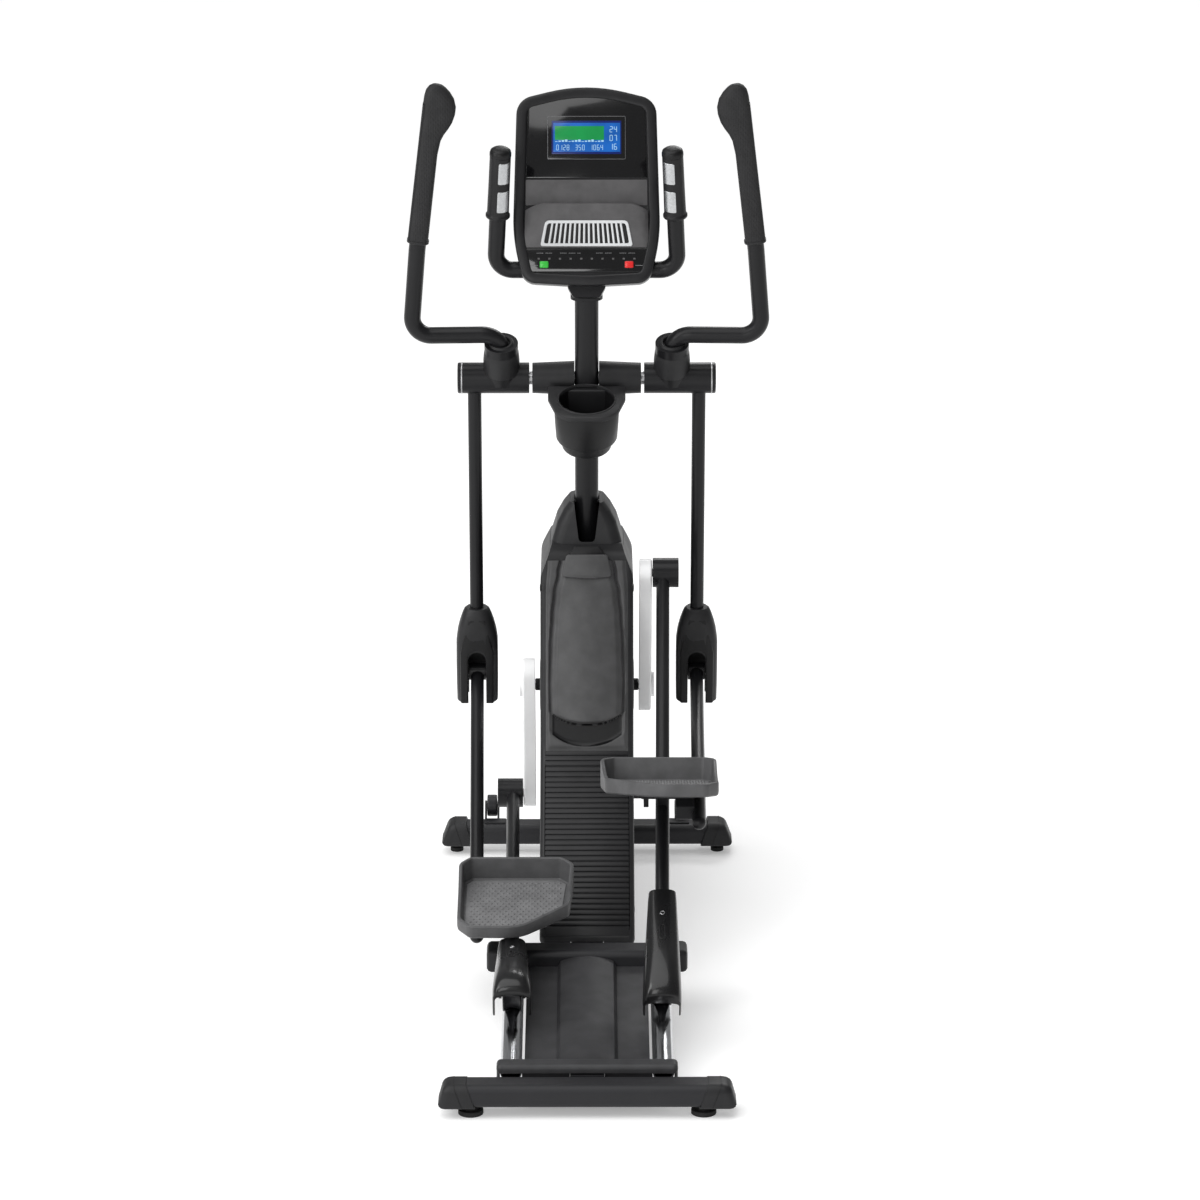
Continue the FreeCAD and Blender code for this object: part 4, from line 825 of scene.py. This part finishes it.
def pulse_grip(side):
    word, sign = side
    low, high = Vector((sign * 0.172, 0.378, 1.2609)), Vector((sign * 0.160, 0.316, 1.4969))
    axes = frame_of(low, high - low, (0, 1, 0))
    end = (high - low).length
    profile = [(0.112, 0.0165), (0.112, 0.0222), (0.1132, 0.023), (0.1165, 0.023), (0.118, 0.0215),
               (0.122, 0.0206),
               (0.17, 0.0201), (end - 0.008, 0.0198), (end - 0.0075, 0.0193), (end - 0.003, 0.0193)]
    sleeve = solid("pulse_sleeve_" + word, loft(turned(profile)), GRIP_BAND, "frame", axes)
    if sign > 0:
        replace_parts(sleeve, "pulse_grips")
    rim = [(end - 0.007, 0.0192), (end - 0.0065, 0.0204), (end - 0.001, 0.0204), (end + 0.004, 0.0188),
           (end + 0.0072, 0.0145), (end + 0.008, 0.008)]
    solid("pulse_rim_" + word, loft(turned(rim)), DARK_COVER, "frame", axes)
    facing = math.radians(270 - sign * 30)
    for name, z0, z1 in (("low", 0.128, 0.171), ("high", 0.186, 0.229)):
        shape = arc_plate(0.0192, 0.0016, facing - 0.62, facing + 0.62, z0, z1)
        solid("sensor_" + name + "_" + word, shape, PLATE, "frame", axes)


def cowl(side):
    """Bell round the handlebar's foot, and a bright ring near the sleeve's outer end."""
    word, sign = side
    tilt = math.radians(25)
    axes = frame_of((sign * 0.162, *SWING_AXLE), (0, -math.sin(tilt), math.cos(tilt)), (0, 1, 0))
    profile = [(0.02, 0.0345), (0.045, 0.0345), (0.062, 0.033), (0.075, 0.0295), (0.083, 0.0255),
               (0.087, 0.0215),
               (0.0865, 0.018), (0.08, 0.0165)]
    solid("socket_cowl_" + word, loft(turned(profile)), COVER, "swing_arm_" + word, axes)
    across = frame_of((sign * 0.2365, *SWING_AXLE), (sign, 0, 0), (0, 0, 1))
    shape = loft(turned([(0.0, 0.029), (0.0004, 0.0302), (0.0026, 0.0302), (0.003, 0.029)]))
    solid("sleeve_ring_" + word, shape, STEEL, "swing_arm_" + word, across)


# ---- cup -------------------------------------------------------------------------------------------
def polar(outline, steps):
    """Points of an outline round the origin at even angles."""
    found = []
    for k in range(steps):
        a = 2 * math.pi * k / steps
        ray = Vector((math.cos(a), math.sin(a)))
        best = 0.0
        for p, q in zip(outline, outline[1:] + outline[:1]):
            side = q - p
            cross = ray.x * side.y - ray.y * side.x
            if abs(cross) < 1e-12:
                continue
            t = (p.x * side.y - p.y * side.x) / cross
            u = (p.x * ray.y - p.y * ray.x) / cross
            if t > 0 and -1e-6 <= u <= 1 + 1e-6:
                best = max(best, t)
        found.append(ray * best)
    return found


CUP = Matrix.Translation((0, 0.323, 1.022)) @ Matrix.Rotation(math.radians(18), 4, "X")


def cup():
    profile = [(-0.078, 0.0475), (-0.0765, 0.0505), (-0.07, 0.0515), (-0.003, 0.0532), (-0.0018, 0.055),
               (-0.0022, 0.0605), (-0.006, 0.0622), (-0.05, 0.0602), (-0.079, 0.0582), (-0.0822, 0.0565),
               (-0.083, 0.0535), (-0.0832, 0.0496), (-0.0842, 0.0484), (-0.1, 0.0468), (-0.1035, 0.0445),
               (-0.104, 0.041)]
    body = solid("cup_body", loft(turned(profile, 64)), DARK_COVER, "frame", CUP, 40)
    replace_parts(body, "bottle_holder")
    outline = ring2d(mirrored([(-0.0735, 0.05, 0.004), (-0.0735, 0.008, 0.03), (-0.052, -0.067, 0.042)]), 8)
    steps = 96
    edge = polar(outline, steps)
    rings = []
    for radius, inset, z in ((0.0524, None, -0.004), (0.0524, None, 0.0012), (0.0532, None, 0.0026),
                             (0.0552, None, 0.0026),
                             (0.0562, None, 0.0014), (None, 0.003, 0.001), (None, 0.0008, -0.0002), (None,
            0.0, -0.0022),
                             (None, 0.0, -0.0075), (None, 0.002, -0.009), (0.058, None, -0.009)):
        ring = []
        for k in range(steps):
            a = 2 * math.pi * k / steps
            far = radius if radius else edge[k].length - inset
            ring.append(Vector((far * math.cos(a), far * math.sin(a), z)))
        rings.append(ring)
    solid("cup_deck", loft(rings + rings[:1], (False, False)), COVER, "frame", CUP, 35)
    shield = ring2d(mirrored([(-0.05, -0.088, 0.012), (-0.07, -0.004, 0.01)]))
    shape = layered(shield, [(0.052, 0.002), (0.051, 0.0), (0.0415, 0.0), (0.04, 0.0012), (0.0396, 0.003)])
    solid("cup_back", shape, COVER, "frame", CUP, 35)


# ---- linkage ---------------------------------------------------------------------------------------
def linkage(crank_angle):
    """Crank pin, roller, pedal pivot and knee of one side, as (y, z), and two directions in degrees."""
    def along(start, angle, far):
        return (start[0] + far * math.cos(math.radians(angle)),
                start[1] + far * math.sin(math.radians(angle)))

    def heading(a, b):
        return math.degrees(math.atan2(b[1] - a[1], b[0] - a[0]))

    pin = along(HUB, crank_angle, CRANK)
    slope = math.tan(math.radians(RAIL_SLOPE))
    y = pin[0] - ROLLER_ARM
    for _ in range(60):
        z = ROLLER_Z + slope * (y - ROLLER_Y)
        y = pin[0] - math.sqrt(ROLLER_ARM ** 2 - (pin[1] - z) ** 2)
    roller = (y, ROLLER_Z + slope * (y - ROLLER_Y))
    arm = heading(roller, pin)
    pivot = along(along(pin, arm + 180, ROLLER_ARM * PIVOT_SHARE), arm + 90, PIVOT_RISE)
    gap = math.dist(SWING_AXLE, pivot)
    reach = (SWING_ARM ** 2 - PEDAL_ARM ** 2 + gap * gap) / (2 * gap)
    line = heading(SWING_AXLE, pivot)
    best = None
    for turn in (-90, 90):
        knee = along(along(SWING_AXLE, line, reach), line + turn, math.sqrt(SWING_ARM ** 2 - reach ** 2))
        if best is None or knee[0] > best[0]:
            best = knee
    return {"pin": pin, "roller": roller, "arm": arm, "pivot": pivot, "knee": best,
            "lean": heading(best, SWING_AXLE) - 90, "link": heading(pivot, best)}


def knee_cover(side, link):
    """Boot over the knee's fork: rounded shoulders, a slot below for the pedal arm, a raised rear face."""
    word, sign = side
    place = turned_at(link["knee"], link["lean"], sign * 0.214)
    sections = [(z, half, half, deep, square) for z, half, deep, square in (
        (-0.056, 0.0375, 0.029, 0.6), (-0.053, 0.0398, 0.0315, 0.55), (-0.02, 0.0403, 0.0328, 0.5),
        (0.03, 0.0405, 0.0338, 0.5), (0.07, 0.0402, 0.0338, 0.5), (0.09, 0.0375, 0.0325, 0.55),
        (0.107, 0.0335, 0.0302, 0.62), (0.122, 0.0288, 0.0268, 0.72), (0.132, 0.0248, 0.0232, 0.8),
        (0.1362, 0.0205, 0.0195, 0.9))]
    inner = [(-0.07, 0.0295, 0.0295, 0.027, 0.3), (0.065, 0.0295, 0.0295, 0.027, 0.3)]
    slot = [Vector((-0.0174, 0, -0.07)), Vector((-0.0174, 0, 0.036))]
    slot += [Vector((-0.0174 * math.cos(a), 0, 0.036 + 0.0174 * math.sin(a)))
             for a in (math.pi * k / 12 for k in range(1, 12))]
    slot += [Vector((0.0174, 0, 0.036)), Vector((0.0174, 0, -0.07))]
    arch = loft([moved(slot, 0, -0.06), moved(slot, 0, 0.026)])
    through = [Vector((x, 0, z)) for x, z in ((-0.017, -0.07), (-0.017, -0.014), (0.017, -0.014),
            (0.017, -0.07))]
    through = loft([moved(through, 0, 0.02), moved(through, 0, 0.05)])
    shape = carved(loft(tube_rings(sections, 48)), [loft(tube_rings(inner, 32)), arch, through,
                                                            loft(turned([(0.06, 0.0131), (0.15, 0.0131)],
            32))])
    shell = solid("knee_boot_" + word, shape, COVER, "swing_arm_" + word, place, 32)
    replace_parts(shell, "knee_cover_" + word)
    plate = mirrored([(-0.0325, -0.0535, 0.004), (-0.0325, 0.052, 0.008), (-0.016, 0.119, 0.006)])
    face = [Vector((p.x, 0, p.y)) for p in ring2d(plate, 5)]
    rings = []
    for depth, shrink in ((-0.02, 1.0), (-0.0345, 1.0), (-0.0362, 0.97), (-0.0368, 0.92)):
        ring = []
        for q in face:
            lean = 0.0085 * smooth((q.z - 0.058) / 0.06)
            ring.append(Vector((q.x * shrink, depth + lean, (q.z - 0.02) * (1 - (1 - shrink) * 0.5) + 0.02)))
        rings.append(ring)
    wide = [q * 1.1 for q in slot]
    shape = carved(loft(rings), [loft([moved(wide, 0, -0.06), moved(wide, 0, 0.026)])])
    solid("knee_face_" + word, shape, DARK_COVER, "swing_arm_" + word, place, 32)


def roller_hood(side, link):
    """Hood over the roller: a narrowing arch with pointed skirts."""
    word, sign = side
    place = turned_at(link["roller"], link["arm"], sign * 0.134)
    sections = [(-0.0482, 0.0325, 0.012, -0.027), (-0.047, 0.0335, 0.0235, -0.0275),
                (-0.041, 0.0343, 0.0315, -0.025),
                (-0.030, 0.0348, 0.0368, -0.0185), (-0.014, 0.0345, 0.0405, -0.0125), (0.005, 0.0338, 0.0408,
            -0.0105),
                (0.025, 0.0330, 0.0396, -0.0125), (0.045, 0.0321, 0.0372, -0.0185), (0.062, 0.0314, 0.0346,
            -0.0255),
                (0.08, 0.0306, 0.0318, -0.0215), (0.11, 0.0293, 0.0276, -0.0178), (0.15, 0.0275, 0.0222,
            -0.0156),
                (0.185, 0.026, 0.0182, -0.0148), (0.2, 0.0248, 0.0168, -0.0148)]
    count, rings = 24, []
    for y, half, top, skirt in sections:
        outer, inner = [], []
        for k in range(count + 1):
            a = math.pi * k / count
            c, s = math.cos(a), math.sin(a)
            for ring, w, h in ((outer, half, top), (inner, half - 0.0022, top - 0.0022)):
                ring.append(Vector((sign * 0.0125 * y + math.copysign(abs(c) ** 0.7, c) * w, y,
                                    abs(s) ** 0.7 * h)))
        outer = [Vector((outer[0].x, y, skirt))] + outer + [Vector((outer[-1].x, y, skirt))]
        inner = [Vector((inner[0].x, y, skirt))] + inner + [Vector((inner[-1].x, y, skirt))]
        rings.append(outer + inner[::-1])
    hood = solid("roller_hood_" + word, loft(rings), GLOSS, "roller_arm_" + word, place, 40)
    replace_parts(hood, "roller_cover_" + word)
    lean = Matrix.Rotation(math.radians(-7.5), 4, "X")
    pad = ring2d(rectangle(-0.006, 0.006, -0.019, 0.019, 0.0058))
    rings = [[Vector((p.x, p.y, z)) for p in offset2d(pad, inset)] for z,
             inset in ((-0.003, 0), (0.0006, 0), (0.001, 0.0005),
                                                                                 (0.001, 0.0022), (-0.0004,
            0.0027))]
    points, faces = loft(rings)
    spot = place @ Matrix.Translation((sign * 0.001, 0.095, 0.0297)) @ lean
    solid("hood_recess_" + word, (points, faces), DARK_COVER, "roller_arm_" + word, spot, 35)
    spot = place @ Matrix.Translation((sign * 0.0018, 0.142, 0.0233)) @ lean
    screw = [(-0.003, 0.0046), (0.0004, 0.0046), (0.0009, 0.004), (0.0009, 0.0033), (-0.0003, 0.0028)]
    shape = loft(turned(screw, 24))
    solid("hood_screw_" + word, shape, STEEL, "roller_arm_" + word, spot, 35)


def pedal_top(y):
    """Height of the tray's rim: high at the toe, sweeping down to the heel."""
    knots = [(0.0, 0.056), (-0.02, 0.0558), (-0.038, 0.053), (-0.06, 0.0455), (-0.085, 0.0365),
             (-0.11, 0.0312),
             (-0.15, 0.0278), (-0.23, 0.0245)]
    for (y0, z0), (y1, z1) in zip(knots, knots[1:]):
        if y >= y1:
            t = (y0 - y) / (y0 - y1)
            return z0 + (z1 - z0) * t
    return knots[-1][1]


def pedal_tray(side, link):
    """Foot tray: outer skin, rolled rim, inner walls and a studded floor."""
    word, sign = side
    place = turned_at(link["pivot"], link["link"]) @ turned_at((0.0, 0.017), -19.5)
    x0, x1, length = 0.024, 0.237, 0.228
    corners = [(x0 + 0.008, -length * 0.62, 0.02), (x0, -0.026, 0.022), (x0 + 0.022, 0, 0.014),
               (x1 - 0.02, 0, 0.016),
               (x1, -0.026, 0.022), (x1, -length + 0.034, 0.03), (x1 - 0.022, -length, 0.016), (x0 + 0.096,
            -length, 0.06)]
    coarse = ring2d(corners, 10)
    plan = []
    for p, q in zip(coarse, coarse[1:] + coarse[:1]):
        parts = max(1, int((q - p).length / 0.008))
        plan += [p.lerp(q, i / parts) for i in range(parts)]
    rings = []
    for inset, height, low in ((0.012, 0.0, True), (0.0035, 0.0004, True), (0.0008, 0.003, True),
                               (0.0, 0.008, True),
                               (0.0, -0.0035, False), (0.0006, -0.0012, False), (0.0024, 0.0, False),
                               (0.0052, 0.0, False),
                               (0.0068, -0.0012, False), (0.0074, -0.004, False), (0.0095, 0.0155, True),
                               (0.0125, 0.0125, True)):
        ring = []
        for p in offset2d(plan, inset):
            z = height if low else pedal_top(p.y) + height
            ring.append(Vector((p.x * sign, p.y, z)))
        rings.append(ring)
    tray = solid("pedal_tray_" + word, loft(rings), PEDAL, "pedal_arm_" + word, place, 34)
    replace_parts(tray, "pedal_" + word)
    mat = offset2d(plan, 0.0165)
    def inside(x, y):
        odd = False
        for p, q in zip(mat, mat[1:] + mat[:1]):
            if (p.y > y) != (q.y > y) and x < p.x + (q.x - p.x) * (y - p.y) / (q.y - p.y):
                odd = not odd
        return odd
    shape = loft([[Vector((p.x * sign, p.y, z)) for p in offset2d(plan, inset)]
                          for inset, z in ((0.0145, 0.0115), (0.0145, 0.0134), (0.0152, 0.0139))])
    solid("pedal_mat_" + word, shape, TREAD, "pedal_arm_" + word, place, 34)
    studs, faces = [], []
    pitch, size = 0.0105, 0.0036
    for row in range(24):
        for column in range(24):
            x, y = x0 + pitch * column + (row % 2) * pitch / 2, -length + pitch * row
            if not inside(x, y) or not inside(x - size, y - size) or not inside(x + size, y + size):
                continue
            first = len(studs)
            for reach, z in ((size, 0.0136), (size * 0.55, 0.0152)):
                studs += [Vector(((x + dx * reach) * sign, y + dy * reach, z)) for dx,
                          dy in ((1, 0), (0, 1), (-1, 0), (0, -1))]
            faces += [(first + k, first + (k + 1) % 4, first + 4 + (k + 1) % 4, first + 4 + k)
                      for k in range(4)]
            faces += [tuple(range(first, first + 4)), tuple(range(first + 4, first + 8))]
    solid("pedal_studs_" + word, (studs, faces), TREAD, "pedal_arm_" + word, place, 34)


SEAM_LEAN = 0.015


def end_cap(name, sign, half, deep, y, low, high, slant):
    """Cap on a tube's end: its seam and its outer end lean, wider at the floor."""
    corners = ring2d([(y - deep, low, 0.006), (y - deep, high, 0.015), (y + deep, high, 0.015),
                      (y + deep, low, 0.006)], 6)
    rings = []
    for x, inset, lean in ((half - 0.066, 0.0035, SEAM_LEAN), (half - 0.0658, 0.0, SEAM_LEAN),
                           (half - 0.0135, 0.0, -slant), (half - 0.007, 0.0012, -slant),
                           (half - 0.002, 0.0045, -slant), (half, 0.009, -slant)):
        ring = []
        for p in offset2d(corners, inset):
            shift = lean * ((p.y - low) / (high - low))
            ring.append(Vector((sign * (x + shift), p.x, p.y)))
        rings.append(ring)
    cap = solid(name, loft(rings), CAP, "frame", None, 35)
    groove = [[Vector((sign * (half - 0.0445 + SEAM_LEAN * (p.y - low) / (high - low) + dx), p.x, p.y))
               for p in offset2d(corners, inset)] for dx, inset in ((0.0, 0.001), (0.0002, -0.0004),
            (0.0016, -0.0004), (0.0018, 0.001))]
    solid(name + "_seam", loft(groove), DARK_COVER, "frame", None, 35)
    return cap


def base_trim():
    for side, sign in SIDES.items():
        first = end_cap("front_cap_" + side, sign, 0.295, 0.035, 0.688, 0.018, 0.0648, 0.018)
        if sign > 0:
            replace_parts(first, "end_caps")
        end_cap("rear_cap_" + side, sign, 0.26, 0.0315, -0.724, 0.018, 0.0613, 0.012)
        corners = ring2d([(-0.226, 0.074, 0.006), (-0.226, 0.116, 0.01), (-0.162, 0.116, 0.01),
                          (-0.162, 0.074, 0.006)], 5)
        rings = []
        for x, inset in ((0.16, 0.0), (0.176, 0.0), (0.181, 0.002), (0.184, 0.0075)):
            rings.append([Vector((sign * x, p.x, p.y)) for p in offset2d(corners, inset)])
        solid("cross_cap_" + side, loft(rings), CAP, "frame", None, 35)
        place = frame_of((sign * 0.0885, *HUB), (sign, 0, 0), (0, 0, 1))
        shape = loft(turned([(0.0, 0.0165), (0.0012, 0.0165), (0.002, 0.0118), (0.0105, 0.0118),
                             (0.0112, 0.0108)]))
        solid("hub_bush_" + side, shape, DARK_COVER, "frame", place, 35)


def screw(name, origin, facing, radius=0.0048):
    """A countersunk screw head in a small dished seat."""
    place = frame_of(origin, facing, (0, 0, 1) if abs(facing[2]) < 0.9 else (0, 1, 0))
    profile = [(-0.003, radius * 1.5), (0.0003, radius * 1.5), (0.0006, radius * 1.3), (0.0, radius),
               (0.0008, radius * 0.9),
               (0.0009, radius * 0.4), (-0.0004, radius * 0.3)]
    solid(name, loft(turned(profile, 24)), DARK_COVER, "frame", place, 32)


def shroud_trim():
    """Hub rings and screws on the drive cover's sides."""
    for side, sign in SIDES.items():
        place = frame_of((sign * 0.0888, *HUB), (sign, 0, 0), (0, 0, 1))
        ring = [(0.0, 0.052), (0.0008, 0.0518), (0.0021, 0.0495), (0.0024, 0.047), (0.0022, 0.042),
                (0.0013, 0.034),
                (0.0012, 0.018)]
        solid("hub_ring_" + side, loft(turned(ring, 56)), PANEL, "frame", place, 30)
        for i, (y, z) in enumerate(((0.02, 0.11), (0.30, 0.66), (0.48, 0.62), (0.66, 0.40), (0.66, 0.12),
                                    (0.34, 0.10))):
            screw("cover_screw_%d_%s" % (i, side), (sign * 0.0889, y, z), (sign, 0, 0))


def console_rear():
    """Vents, screws and a raised field on the console's back."""
    field = ring2d(mirrored([(-0.075, 0.1, 0.014), (-0.082, 0.24, 0.02)]))
    shape = layered(field, [(0.045, 0.0), (0.0521, 0.0), (0.0531, 0.001), (0.0533, 0.003)])
    solid("rear_field", shape, BEZEL, "frame", CONSOLE, 35)
    bars = []
    for i in range(9):
        z = 0.122 + 0.0125 * i
        bars.append((-0.052, 0.052, z, z + 0.0046))
    boxes("rear_vents", bars, 0.0536, 0.05, DARK_COVER)
    back = CONSOLE.to_3x3() @ Vector((0, 1, 0))
    for i, (x, z) in enumerate(((-0.1, 0.06), (0.1, 0.06), (-0.095, 0.315), (0.095, 0.315))):
        screw("console_screw_%d" % i, CONSOLE @ Vector((x, 0.0521, z)), back, 0.0038)


def covers():
    for side in SIDES.items():
        hand_grip(side)
        pulse_grip(side)
        cowl(side)
        link = linkage(CRANK_ANGLE if side[1] > 0 else CRANK_ANGLE - 180)
        knee_cover(side, link)
        roller_hood(side, link)
        pedal_tray(side, link)
    cup()
    rear_panel()
    scoop_painted_shade()
    neck_pieces()
    ribbed_apron()
    base_trim()
    shroud_trim()
    console_rear()


covers()


# ---- studio --------------------------------------------------------------------------------------
def aim(thing, at, target):
    thing.location = at
    thing.rotation_euler = (Vector(target) - Vector(at)).to_track_quat("-Z", "Y").to_euler()


def soft_light(name, at, target, size, watts, tall=None):
    data = bpy.data.lights.new(name, "AREA")
    data.shape = "RECTANGLE"
    data.size = size
    data.size_y = tall or size
    data.energy = watts
    aim(linked(name, data), at, target)


def studio():
    """A white floor and sky, a broad light overhead, and softboxes to the left, the rear and the front."""
    mesh = bpy.data.meshes.new("studio_floor")
    reach = 30.0
    mesh.from_pydata([(-reach, -reach, 0), (reach, -reach, 0), (reach, reach, 0), (-reach, reach, 0)],
                     [], [(0, 1, 2, 3)])
    floor = linked("studio_floor", mesh)
    material, tree, surface, place = shader("studio_floor", (0.8, 0.8, 0.8), 0.6, specular=0.2)
    level = remap(tree, noise(tree, place, 2.0), 0, 1)
    tree.links.new(tint(tree, level, (0.79, 0.79, 0.79), (0.81, 0.81, 0.81)), surface.inputs["Base Color"])
    surface.inputs["Emission Color"].default_value = (1.0, 1.0, 1.0, 1.0)
    surface.inputs["Emission Strength"].default_value = 0.3
    paint(floor, material)

    world = bpy.data.worlds.new("studio")
    world.use_nodes = True
    world.node_tree.nodes["Background"].inputs["Color"].default_value = (1.0, 1.0, 1.0, 1.0)
    world.node_tree.nodes["Background"].inputs["Strength"].default_value = 0.26
    bpy.context.scene.world = world
    middle = (0.0, 0.2, 0.8)
    sky = bpy.data.lights.new("overhead_bank", "SUN")
    sky.energy = 2.3
    sky.angle = math.radians(70)
    aim(linked("overhead_bank", sky), (-1.6, -0.9, 4.2), (0.0, 0.0, 0.0))
    soft_light("left_softbox", (-3.6, -1.8, 2.4), middle, 1.2, 55, 2.8)
    soft_light("front_softbox", (-1.8, -6.2, 2.6), middle, 2.6, 95)
    soft_light("back_softbox", (1.2, 4.2, 3.4), middle, 2.6, 60, 1.2)
    bpy.context.scene.view_settings.view_transform = "Standard"


def camera():
    data = bpy.data.cameras.new("camera")
    data.sensor_width = 36.0
    data.lens = CAMERA_LENS
    data.clip_end = 60.0
    thing = linked("camera", data)
    aim(thing, CAMERA_AT, CAMERA_TARGET)
    bpy.context.scene.camera = thing


studio()
camera()
